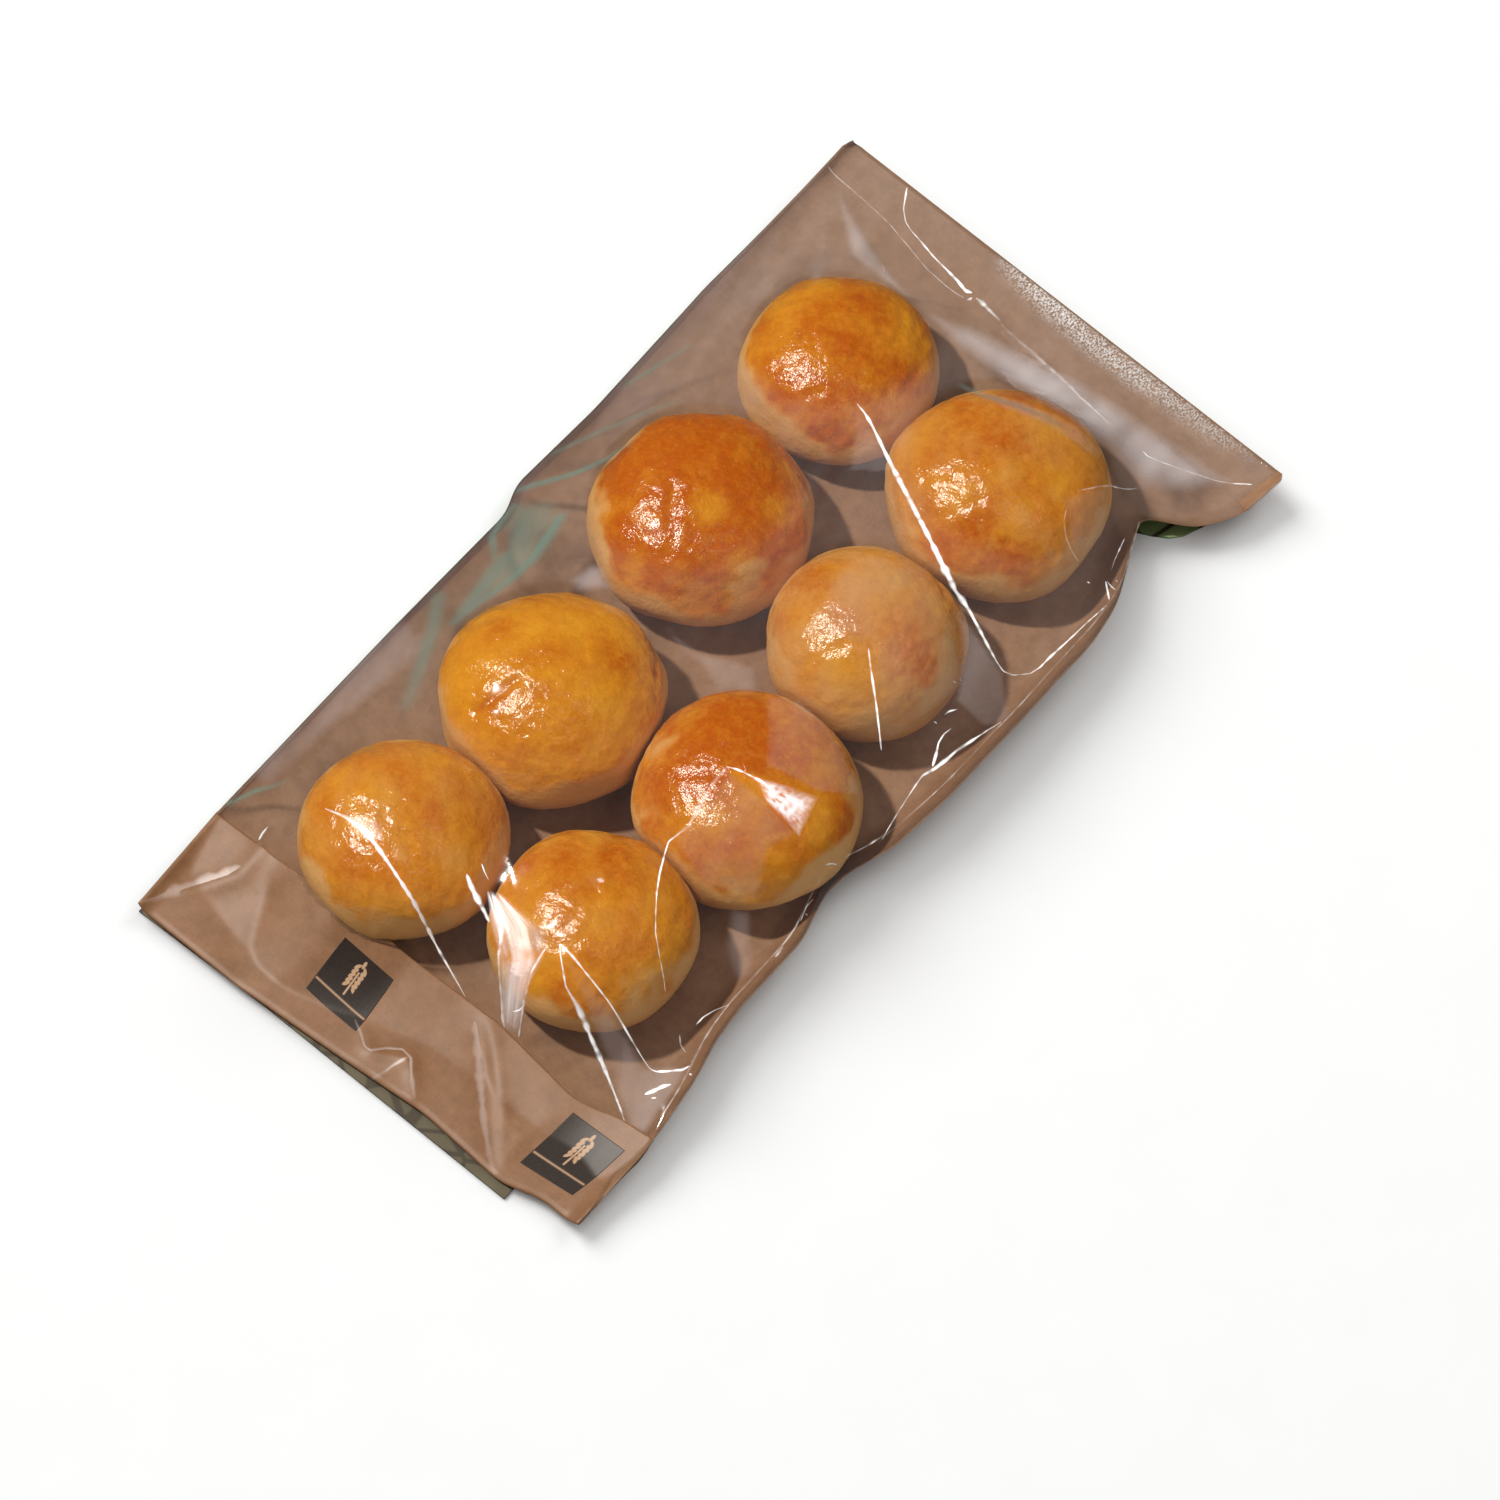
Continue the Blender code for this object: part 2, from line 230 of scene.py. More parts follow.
# the bag's plan, in metres: the same outline as the frame's nodes
pack = dict(
    nearY=-0.1675, length=0.336,  # nominal near end, and the flat length
    floor=0.45 * mm,  # the paper's inner face over the table
    bandWide=0.0365, bandReach=0.025,  # the band's width, and the reach over which its edge is drawn in
    bandLift=0.9 * mm,  # the least height under the band
    nearLift=1.4 * mm, nearLiftY=-0.1215, nearLiftRun=0.014,
    farLift=8.5 * mm, farLiftY=0.0855,  # the sealed end rises off the table
    bare=0.0075, bareY=0.1495, bareRun=0.004,  # the film stops short of the paper's far right corner
    cornerRadii=(4.2 * mm, 5.0 * mm),
)
# y, x, height of the wall, how far it leans out
leftRim = [
    (-0.1675, -0.0822, 0.0035, 0.0060), (-0.1245, -0.0847, 0.0040, 0.0100), (-0.0495, -0.0850, 0.0050, 0.0110),
    (0.0005, -0.0842, 0.0060, 0.0110), (0.0105, -0.0882, 0.0060, 0.0120), (0.0455, -0.0872, 0.0060, 0.0120),
    (0.1005, -0.0892, 0.0050, 0.0120), (0.1685, -0.0870, 0.0030, 0.0060),
]
rightRim = [
    (-0.1675, 0.0853, 0.0035, 0.0040), (-0.1375, 0.0858, 0.0070, 0.0050), (-0.1115, 0.0823, 0.0110, 0.0050),
    (-0.0975, 0.0786, 0.0110, 0.0050), (-0.0845, 0.0770, 0.0105, 0.0050), (-0.0545, 0.0770, 0.0110, 0.0050),
    (-0.0385, 0.0728, 0.0085, 0.0070), (-0.0275, 0.0730, 0.0085, 0.0070), (-0.0135, 0.0780, 0.0120, 0.0050),
    (0.0105, 0.0803, 0.0140, 0.0040), (0.0455, 0.0803, 0.0140, 0.0040), (0.0805, 0.0793, 0.0130, 0.0040),
    (0.0985, 0.0758, 0.0120, 0.0050), (0.1125, 0.0703, 0.0100, 0.0050), (0.1225, 0.0662, 0.0080, 0.0050),
    (0.1280, 0.0650, 0.0060, 0.0050), (0.1335, 0.0765, 0.0050, 0.0050), (0.1385, 0.0815, 0.0045, 0.0050),
    (0.1485, 0.0875, 0.0040, 0.0050), (0.1685, 0.0903, 0.0030, 0.0040),
]
# y, how far the film stands out of the right rim, and how far above it
shoulder = [
    (-0.1495, 0.0000, 0.0009), (-0.1195, 0.0008, 0.0030), (-0.0995, 0.0010, 0.0060), (-0.0595, 0.0012, 0.0070),
    (-0.0345, 0.0000, 0.0090), (-0.0095, 0.0015, 0.0070), (0.0605, 0.0022, 0.0065), (0.0925, 0.0030, 0.0070),
    (0.1155, 0.0010, 0.0040), (0.1285, 0.0000, 0.0012), (0.1505, 0.0000, 0.0009),
]
nearEnd = [
    (-0.0822, -0.1670), (-0.0432, -0.1674), (-0.0022, -0.1652), (0.0268, -0.1632), (0.0578, -0.1655),
    (0.0718, -0.1618), (0.0858, -0.1622),
]
farEnd = [(-0.0867, 0.1695), (0.0903, 0.1630)]
# x, height of the film under the band's far edge, and how far that edge is drawn in
bandEdge = [
    (-0.0852, 0.0050, 0.0000), (-0.0582, 0.0090, 0.0008), (-0.0332, 0.0180, 0.0017), (-0.0082, 0.0080, 0.0009),
    (0.0118, 0.0060, 0.0009), (0.0648, 0.0050, 0.0036), (0.0858, 0.0080, 0.0021),
]


def stationY(length):
    return pack["nearY"] + pack["length"] * length


def shapedY(x, length):
    near, far = along(nearEnd, x), along(farEnd, x)
    fromEdge = np.abs(length * pack["length"] - pack["bandWide"])
    return near + (far - near) * length - along(bandEdge, x, 2) * smoothStep(1.0 - fromEdge / pack["bandReach"])


def paperLift(y):
    near = pack["nearLift"] * smoothStep((pack["nearLiftY"] - y) / pack["nearLiftRun"])
    run = pack["nearY"] + pack["length"] - pack["farLiftY"]
    return pack["floor"] + near + pack["farLift"] * np.maximum(0.0, (y - pack["farLiftY"]) / run) ** 2


# distance from each place to a line of points in plan, and the value that the line has there
def besideLine(x, y, line):
    nearest, value = np.full(x.shape, 1e9), np.zeros(x.shape)
    for a, b in zip(line[:-1], line[1:]):
        span = b[:2] - a[:2]
        part = np.clip(((x - a[0]) * span[0] + (y - a[1]) * span[1]) / (span @ span), 0.0, 1.0)
        distance = np.hypot(x - a[0] - part * span[0], y - a[1] - part * span[1])
        closer = distance < nearest
        nearest = np.where(closer, distance, nearest)
        value = np.where(closer, a[2] + part * (b[2] - a[2]), value)
    return nearest, value


# a line's places in plan, from millimetres, with the value at each, or 0
def metres(line):
    points = np.zeros((len(line), 3))
    columns = min(3, len(line[0]))
    points[:, :columns] = np.array(line)[:, :columns]
    return points * (mm, mm, 1.0)


# centre, width and height, how deeply browned, how pale its wash, seed, browner spots (x, y, radius, how brown) and
# dents (depth, width, places), those in millimetres
buns = [
    dict(name="near_left", at=(-0.0323, -0.1047), wide=0.0635, tall=0.036, brown=0.34, pale=0.38, seed=11,
         spots=[(-49.2, -94.8, 4.8, 0.35), (-28.5, -98.3, 4.2, 0.4), (-33.1, -126.7, 5.4, 0.25),
                (-69.8, -95.7, 4.8, 0.25), (-26, -136, 6.6, 0.35), (-20.5, -91.9, 4.2, 0.25)]),
    dict(name="near_right", at=(0.0303, -0.0917), wide=0.0634, tall=0.036, brown=0.4, pale=0.22, seed=12,
         spots=[(18.2, -85, 4.5, 0.5), (23.8, -74.8, 4.2, 0.6), (19.7, -97.1, 3.6, 0.45), (29, -89.9, 2.7, 0.35),
                (38.6, -117.5, 2.4, 0.6), (8.4, -94, 6, 0.35), (33.8, -73.9, 4.8, 0.3), (28.3, -103.5, 3.6, 0.45)]),
    dict(name="second_left", at=(-0.0285, -0.0412), wide=0.069, tall=0.0374, brown=0.22, pale=0.08, seed=13,
         spots=[(-33.4, -40.5, 3.3, 0.55), (-28.8, -34.5, 2.7, 0.45), (-24.2, -24.9, 2.7, 0.4),
                (-14.5, -25.3, 3.3, 0.95), (-33.6, -58.6, 3.9, 0.6), (-24.4, -60.2, 3, 0.6),
                (-24.4, -48.2, 2.7, 0.45), (-7.9, -54.6, 4.2, 0.45), (-7.5, -18.5, 1.2, 0.9),
                (-18.9, -66.7, 2.7, 0.4), (-50.5, -39.1, 3.6, 0.3)],
         dents=[(1.1, 1.3, [(-38.4, -64.1), (-36.3, -60.9), (-35.1, -55.9), (-33.8, -50.6)]),
                (0.8, 0.9, [(-7.5, -18.5), (-6.7, -19)])]),
    dict(name="second_right", at=(0.0374, -0.0301), wide=0.069, tall=0.037, brown=0.52, pale=0.1, seed=14,
         spots=[(23.2, -15.7, 7.8, 0.95), (20.1, -30.3, 7.8, 0.75), (17.8, -42.3, 7.2, 0.7), (36.2, -24.2, 6, 0.8),
                (25.3, -20.5, 3, 1), (42.4, -56.9, 3.3, 0.7), (28.7, -45.1, 6, 0.5), (47.2, -16.8, 6.6, 0.5),
                (29.9, -32.8, 4.2, 0.6), (67.6, -27.3, 6, 0.3)]),
    dict(name="third_left", at=(-0.0339, 0.0339), wide=0.0693, tall=0.0374, brown=0.95, pale=0.08, seed=15,
         spots=[(-44.1, 37.3, 3.9, 1), (-46.2, 48.2, 9, 0.85), (-59, 42.3, 5.4, 0.9), (-37.3, 47.9, 4.8, 0.75),
                (-50.9, 18.9, 5.4, 0.6), (-29.4, 13.4, 2.7, 0.9), (-47.4, 8.1, 3, 0.75), (-53.6, 29, 4.8, 0.6),
                (-26.5, 48.1, 7.2, 0.5), (-22.8, 20.5, 5.4, 0.4), (-13.8, 37.6, 7.2, 0.35)],
         dents=[(0.5, 2.4, [(-39.6, 27.4), (-33.7, 19.5), (-27.9, 11.2)])]),
    dict(name="third_right", at=(0.0314, 0.0323), wide=0.0608, tall=0.0395, brown=0.12, pale=0.7, seed=16,
         spots=[(10.5, 32, 5, 1), (11.7, 16.6, 3, 0.6), (28, 25.7, 4.2, 0.6), (47, 32, 7.5, 0.85),
                (58.1, 34.3, 5.4, 0.65), (60.4, 28, 3.6, 0.5)]),
    dict(name="far_left", at=(-0.0352, 0.1008), wide=0.0612, tall=0.0345, brown=0.48, pale=0.05, seed=17,
         spots=[(-39, 116.1, 4.8, 0.75), (-53.4, 106.3, 4.8, 0.4), (-35.6, 97.7, 4.8, 0.55), (-32.7, 79.1, 7.2, 0.75),
                (-18.8, 77.5, 3.9, 1), (-16.5, 98.4, 7.2, 0.55), (-39.8, 75.7, 4.2, 0.6), (-20.6, 88.1, 4.2, 0.6),
                (-50.8, 86.5, 4.2, 0.35), (-29.3, 103.3, 5.4, 0.45)],
         dents=[(0.6, 1, [(-25.6, 74.4), (-20.6, 76.5), (-16.7, 81.1)])]),
    dict(name="far_right", at=(0.029, 0.0987), wide=0.069, tall=0.0374, brown=0.3, pale=0.42, seed=18,
         spots=[(16.7, 106.8, 6, 0.7), (29.2, 103.3, 4.5, 0.85), (12.3, 88.5, 4.2, 0.55), (32.4, 71.3, 5.1, 0.9),
                (50.4, 78.7, 3.6, 0.85), (21, 123.2, 4.8, 0.6), (36.9, 82.2, 4.8, 0.55), (55.6, 90.2, 6, 0.4),
                (5.8, 110.8, 4.2, 0.45), (49, 74.8, 4.8, 0.6), (20.1, 76.7, 3.6, 0.5)]),
]
bunForm = dict(
    middle=0.42, crown=2.1, underside=2.3, foot=0.64,  # widest ring, the two curves' exponents, width of the foot
    floor=0.65 * mm, footRound=1.2 * mm, contactRound=1.5 * mm, contactGap=0.15 * mm, paperGap=0.2 * mm,
    lump=0.016, lumpSize=0.030, ripple=0.11 * mm, rippleSize=0.0050, pimple=0.045 * mm, pimpleSize=0.0024,
    topReach=0.7 * mm,  # how far round a place its highest crust counts
    # the wash ends where the crust faces up by washSlope, over washRun, and that line waves and frays
    washSlope=0.30, washRun=0.34, wave=0.11, waveSize=0.018, fray=0.05, fraySize=0.006,
    # uneven browning, the spots' strength, their reach past their radius and their ragged borders, the dents' painted
    # shade
    cloud=0.35, cloudSize=0.016, spot=0.6, spotReach=1.5, ragged=0.13, raggedSize=0.0035, dentShade=0.35,
    fading=0.3, fadingSize=0.012,  # uneven paleness of the wash
)


# the dome's outer height over a place, for the film that lies on it
def domeTop(x, y, grow):
    highest = np.zeros_like(x)
    for bun in buns:
        share = np.hypot(x - bun["at"][0], y - bun["at"][1]) / (bun["wide"] / 2.0 + grow)
        inside = np.minimum(share, 1.0)
        curve = (1.0 - inside ** bunForm["crown"]) ** (1.0 / bunForm["crown"])
        top = bunForm["floor"] + bun["tall"] * (bunForm["middle"] + (1.0 - bunForm["middle"]) * curve) + grow
        highest = np.maximum(highest, np.where(share < 1.0, top, 0.0))
    return highest


# the crust's own height over each place, widened a little
def crustTop(x, y):
    highest = np.zeros(x.shape)
    reach = bunForm["topReach"]
    around = [(0.0, 0.0), (reach, 0.0), (-reach, 0.0), (0.0, reach), (0.0, -reach)]
    for bun in buns:
        close = np.hypot(x - bun["at"][0], y - bun["at"][1]) < bun["wide"] / 2.0 + 1.5 * mm
        for spot in map(tuple, np.argwhere(close)):
            tops = [heightOn(bun["surface"], x[spot] + dx, y[spot] + dy) for dx, dy in around]
            highest[spot] = max(highest[spot], *tops)
    return highest


def surfaceOf(piece):
    shape = bmesh.new()
    shape.from_mesh(piece.data)
    tree = BVHTree.FromBMesh(shape)
    shape.free()
    return tree


def heightOn(surface, x, y):
    hit = surface.ray_cast(Vector((x, y, 0.2)), Vector((0.0, 0.0, -1.0)))[0]
    return hit.z if hit else 0.0


def makeBun(bun, finish):
    ball = bmesh.new()
    bmesh.ops.create_icosphere(ball, subdivisions=6, radius=1.0)
    mesh = bpy.data.meshes.new("bun_" + bun["name"])
    ball.to_mesh(mesh)
    ball.free()
    way = readPoints(mesh)
    way /= np.linalg.norm(way, axis=1)[:, None]
    radius, middle = bun["wide"] / 2.0, bun["tall"] * bunForm["middle"]
    upper = way[:, 2] > 0.0
    power = np.where(upper, bunForm["crown"], bunForm["underside"])
    below = middle / (1.0 - bunForm["foot"] ** bunForm["underside"]) ** (1.0 / bunForm["underside"])
    height = np.where(upper, bun["tall"] - middle, below)
    reach = (np.hypot(way[:, 0], way[:, 1]) ** power + np.abs(way[:, 2]) ** power) ** (-1.0 / power)
    lumps = 1.0 + bunForm["lump"] * softNoise(way * radius, bunForm["lumpSize"], bun["seed"])
    flat = way[:, :2] * (reach * radius * lumps)[:, None]
    rise = middle + way[:, 2] * reach * height * (1.0 + 0.5 * (lumps - 1.0))
    rise = 0.5 * (rise + np.sqrt(rise ** 2 + bunForm["footRound"] ** 2))
    for other in buns:
        apart = np.subtract(other["at"], bun["at"])
        distance = np.hypot(*apart)
        if other is bun or distance > radius + other["wide"] / 2.0 + 3.0 * mm:
            continue
        axis = apart / distance
        wall = distance * radius / (radius + other["wide"] / 2.0) - bunForm["contactGap"]
        reached = flat @ axis
        pressed = 0.5 * (reached + wall - np.sqrt((reached - wall) ** 2 + bunForm["contactRound"] ** 2))
        flat += (pressed - reached)[:, None] * axis
    points = np.column_stack([flat + bun["at"], rise + bunForm["floor"]])
    writePoints(mesh, points)
    facing = readPoints(mesh, "normal")
    # the egg wash covers the crown down to an uneven line, and the sides under it stay pale
    waves = bunForm["wave"] * softNoise(points, bunForm["waveSize"], bun["seed"] + 40)
    edge = waves + bunForm["fray"] * softNoise(points, bunForm["fraySize"], bun["seed"] + 60)
    bake = smoothStep((facing[:, 2] - bunForm["washSlope"] + edge) / bunForm["washRun"])
    ragged = bunForm["ragged"] * softNoise(points, bunForm["raggedSize"], bun["seed"] + 90)
    patch = bun["brown"] * (0.9 + bunForm["cloud"] * softNoise(points, bunForm["cloudSize"], bun["seed"] + 80))
    for x, y, size, much in bun["spots"]:
        distance = np.hypot(points[:, 0] - x * mm, points[:, 1] - y * mm)
        share = distance / (bunForm["spotReach"] * size * mm) + ragged
        patch += bunForm["spot"] * much * (points[:, 2] > middle) * np.exp(-np.maximum(share, 0.0) ** 2)
    pale = bun["pale"] * (1.0 + bunForm["fading"] * softNoise(points, bunForm["fadingSize"], bun["seed"] + 70))
    for depth, wide, line in bun.get("dents", []):
        distance, _ = besideLine(points[:, 0], points[:, 1], metres(line))
        dip = np.exp(-(distance / (wide * mm)) ** 2) * (points[:, 2] > middle)
        points[:, 2] -= depth * mm * dip
        # the dents are painted darker, for the shade in them
        patch += bunForm["dentShade"] * dip
    writeValues(mesh, "bake", bake)
    writeValues(mesh, "patch", np.clip(patch, 0.0, 1.0))
    writeValues(mesh, "pale", np.clip(pale, 0.0, 1.0))
    ripples = bunForm["ripple"] * softNoise(points, bunForm["rippleSize"], bun["seed"] + 20)
    pimples = bunForm["pimple"] * softNoise(points, bunForm["pimpleSize"], bun["seed"] + 30)
    points += facing * ((0.4 + 0.6 * bake) * (ripples + pimples))[:, None]
    points[:, 2] = np.maximum(points[:, 2], paperLift(points[:, 1]) + bunForm["paperGap"])
    writePoints(mesh, points)
    piece = addPiece("bun_" + bun["name"], mesh, [finish])
    lit["buns"].objects.link(piece)
    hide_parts(bun["name"] + "_bun")
    return piece


# brioche crust: baked egg wash is glossy and golden with browner clouds, the unwashed sides are pale and dull;
# its clouds are about 4 mm across, its specks 1 mm and the pores in its gloss 1.4 mm
crust, tree, place = newFinish("egg_washed_brioche_crust")
bake, patch, pale = [addNode(tree, "Attribute", attribute_name=name).outputs["Fac"]
                     for name in ("bake", "patch", "pale")]
clouds = addNode(tree, "TexNoise", {"Scale": 260.0, "Detail": 7.0, "Roughness": 0.78}, {"Vector": place})
specks = addNode(tree, "TexNoise", {"Scale": 1000.0, "Detail": 4.0, "Roughness": 0.75}, {"Vector": place})
pores = addNode(tree, "TexNoise", {"Scale": 720.0, "Detail": 3.0, "Roughness": 0.55}, {"Vector": place})
cloudShare = addNode(tree, "MapRange", {"From Min": 0.38, "From Max": 0.64}, {"Value": clouds})
speckShare = addNode(tree, "MapRange", {"From Min": 0.35, "From Max": 0.7}, {"Value": specks})
golden = addNode(tree, "Mix", {6: linear("#eca420"), 7: linear("#dc900e")}, {"Factor": cloudShare}, data_type="RGBA")
toned = addNode(tree, "Mix", {7: linear("#dfa455")}, {"Factor": pale, 6: golden}, data_type="RGBA")
sides = addNode(tree, "Mix", {6: linear("#dfa964"), 7: linear("#e3a04a")}, {"Factor": bake}, data_type="RGBA")
crown = addNode(tree, "Mix", links={"Factor": bake, 6: sides, 7: toned}, data_type="RGBA")
# the browner spots, with clouds in them
deepClouds = addNode(tree, "Math", {1: 0.4}, {0: cloudShare}, operation="MULTIPLY")
deepShare = addNode(tree, "Math", links={0: patch, 1: deepClouds}, operation="MULTIPLY")
deepSum = addNode(tree, "Math", {1: 0.72}, {0: patch, 2: deepShare}, operation="MULTIPLY_ADD")
deepBaked = addNode(tree, "Math", links={0: deepSum, 1: bake}, operation="MULTIPLY", use_clamp=True)
deep = addNode(tree, "Mix", {7: linear("#c86000")}, {"Factor": deepBaked, 6: crown}, data_type="RGBA")
speckDepth = addNode(tree, "Math", {1: 0.30, 2: 0.13}, {0: deepBaked}, operation="MULTIPLY_ADD")
speckled = addNode(tree, "Math", links={0: speckShare, 1: speckDepth}, operation="MULTIPLY")
colour = addNode(tree, "Mix", {7: linear("#94470a")}, {"Factor": speckled, 6: deep}, data_type="RGBA")
rough = addNode(tree, "MapRange", {"To Min": 0.58, "To Max": 0.17}, {"Value": bake})
bump = addNode(tree, "Bump", {"Strength": 0.8, "Distance": 0.36 * mm}, {"Height": pores})
crumb = {"Subsurface Weight": 0.12, "Subsurface Radius": (0.004, 0.0018, 0.0007), "Subsurface Scale": 1.0}
shader = addNode(
    tree, "BsdfPrincipled", {"IOR": 1.5, "Specular IOR Level": 0.5, **crumb},
    {"Base Color": colour, "Roughness": rough, "Normal": bump},
)
addNode(tree, "OutputMaterial", links={"Surface": shader})
for bun in buns:
    bun["surface"] = surfaceOf(makeBun(bun, crust))
print("buns made:", len(buns))


# brown kraft paper, machine calendered: matt to faintly satin, with a cloudy formation of 6 mm and pulp fibres lying
# two ways, drawn 0.4 mm thick, coarser than real ones, so that they show; its outer side carries a green print of
# rounded leaves, 11 mm across
def kraftFinish(name, darker, lighter, leafColours=None):
    finish, tree, place = newFinish(name)
    cloud = addNode(tree, "TexNoise", {"Scale": 160.0, "Detail": 5.0, "Roughness": 0.6}, {"Vector": place})
    cloudShare = addNode(tree, "MapRange", {"From Min": 0.34, "From Max": 0.68}, {"Value": cloud})
    fibres = addNode(tree, "Math", operation="MULTIPLY")
    for number, (stretch, turn, scale) in enumerate((((1.0, 0.16, 1.0), 0.5, 2600.0), ((0.16, 1.0, 1.0), 0.2, 2200.0))):
        laid = addNode(tree, "Mapping", {"Scale": stretch, "Rotation": (0.0, 0.0, turn)}, {"Vector": place})
        fibre = addNode(tree, "TexNoise", {"Scale": scale, "Detail": 2.0, "Roughness": 0.5}, {"Vector": laid})
        tree.links.new(fibre.outputs["Fac"], fibres.inputs[number])
    fibreShare = addNode(tree, "MapRange", {"From Min": 0.15, "From Max": 0.36}, {"Value": fibres})
    mixed = addNode(tree, "Math", {1: 0.45}, {0: fibreShare, 2: cloudShare}, operation="MULTIPLY_ADD")
    share = addNode(tree, "Math", {1: 0.62}, {0: mixed}, operation="MULTIPLY", use_clamp=True)
    colour = addNode(tree, "Mix", {6: linear(darker), 7: linear(lighter)}, {"Factor": share}, data_type="RGBA")
    if leafColours:
        inner, outer, outline = map(linear, leafColours)
        grid = {"Scale": 88.0, "Randomness": 0.85}
        leaves = addNode(tree, "TexVoronoi", {**grid, "Smoothness": 0.5}, {"Vector": place}, feature="SMOOTH_F1")
        cells = addNode(tree, "TexVoronoi", grid, {"Vector": place}, feature="DISTANCE_TO_EDGE")
        leafShare = addNode(tree, "MapRange", {"From Min": 0.1, "From Max": 0.55}, {"Value": leaves})
        leaf = addNode(tree, "Mix", {6: inner, 7: outer}, {"Factor": leafShare}, data_type="RGBA")
        lineShare = addNode(tree, "MapRange", {"From Min": 0.035, "From Max": 0.075}, {"Value": cells})
        drawn = addNode(tree, "Mix", {6: outline}, {"Factor": lineShare, 7: leaf}, data_type="RGBA")
        colour = addNode(tree, "Mix", {"Factor": 0.9}, {6: colour, 7: drawn}, data_type="RGBA")
    bump = addNode(tree, "Bump", {"Strength": 0.3, "Distance": 0.05 * mm}, {"Height": fibres})
    shader = addNode(tree, "BsdfPrincipled", {"Roughness": 0.5, "IOR": 1.5}, {"Base Color": colour, "Normal": bump})
    addNode(tree, "OutputMaterial", links={"Surface": shader})
    return finish


# one paper painted in two tones for the light each part gets: its inside, under the film, lighter, and its band and
# outer side darker
kraft = kraftFinish("brown_kraft_paper", "#8a664b", "#a68165")
shadedBandKraft = kraftFinish("brown_kraft_paper_painted_darker", "#795639", "#90694c")
greenPrint = kraftFinish("green_printed_kraft_paper", "#795639", "#90694c", ("#84a06c", "#5f7d53", "#141f16"))
# the same print, painted darker for the shade the turned tail lies in
shadedPrint = kraftFinish("printed_kraft_paper_painted_shade", "#795639", "#90694c", ("#625f49", "#504e3a", "#2c2c20"))
sheet = dict(
    columns=132, backRows=224, foldRows=6, bandRows=56, thickness=0.22 * mm, foldBulge=0.7 * mm,
    bandGap=0.35 * mm, bandClear=0.8 * mm, evening=4,  # the band's gap over the film, and over the back
    foldStart=0.004, plainRows=3, plainColumns=12,  # share of the length under the fold; cells with no print outside
)
# sharp creases in the band: how far each stands up and how wide its flanks are, in millimetres, and its places
bandCreases = [
    (1.5, 3.0, [(-84.4, -166.8, 0.4), (-73.4, -154.3, 1.0), (-64.9, -142.2, 1.0), (-64.5, -131.0, 1.0)]),
    (-1.6, 5.0, [(-56.6, -136.8, 1.0), (-50.0, -152.0, 1.0), (-43.5, -165.9, 0.3)]),
    (1.4, 2.0, [(-4.5, -154.3, 0.2), (1.7, -160.2, 1.0), (12.0, -154.1, 1.0), (15.6, -156.5, 1.0),
        (22.5, -163.6, 0.3)]),
    (1.0, 2.0, [(12.4, -154.6, 1.0), (8.2, -166.2, 0.2)]),
    (-1.3, 3.0, [(55.8, -165.6, 0.6), (37.1, -147.4, 1.0), (18.2, -130.0, 1.0)]),
    (1.0, 2.5, [(55.8, -165.6, 0.3), (45.1, -150.0, 1.0), (24.0, -131.0, 0.8)]),
    (0.9, 2.0, [(55.8, -165.6, 0.4), (53.5, -151.6, 1.0), (57.0, -140.0, 0.2)]),
    (0.6, 2.5, [(-36.0, -162.0, 0.3), (-28.0, -145.0, 0.8), (-31.0, -133.0, 0.6)]),
]


# the paper across the bag at one place: x and height from the left rim to the right rim, for shares of its width
def paperSection(length, shares):
    y = stationY(length)
    turns = np.linspace(0.0, math.pi / 2.0, 13)
    left, rise, lean = [along(leftRim, y, n) for n in (1, 2, 3)]
    lowLeft = [(left + lean - lean * math.sin(t), rise * (1.0 - math.cos(t))) for t in turns[::-1]]
    right, rise, lean = [along(rightRim, y, n) for n in (1, 2, 3)]
    right += along(shoulder, y, 1)
    reach = lean + 0.6 * rise
    upRight = [(right - reach + reach * part, rise * part ** 1.6) for part in np.linspace(0.0, 1.0, 13)]
    line = np.array(lowLeft + upRight)
    run = np.concatenate([[0.0], np.cumsum(np.hypot(*np.diff(line, axis=0).T))])
    at = shares * run[-1]
    return np.interp(at, run, line[:, 0]), np.interp(at, run, line[:, 1])


def filmEdges(length):
    y = stationY(length)
    bare = pack["bare"] * smoothStep((y - pack["bareY"]) / pack["bareRun"])
    return along(leftRim, y), along(rightRim, y) + along(shoulder, y, 1) - bare


# the film's height where the paper band holds it down, from the fold (0) to the band's edge (1)
def heldHeight(x, y, share):
    return np.maximum(paperLift(y) + pack["bandLift"], along(bandEdge, x) * share)


# draws the two far corners in to an arc
def roundCorners(points):
    for (cornerX, cornerY), radius in zip(farEnd, pack["cornerRadii"]):
        way = math.copysign(1.0, cornerX)
        middle = np.array([cornerX - way * radius, cornerY - radius])
        offset = points[..., :2] - middle
        size = np.hypot(offset[..., 0], offset[..., 1])
        outside = (offset[..., 0] * way > 0.0) & (offset[..., 1] > 0.0) & (size > radius)
        drawnIn = middle + offset * (radius / np.maximum(size, 1e-9))[..., None]
        points[..., :2] = np.where(outside[..., None], drawnIn, points[..., :2])


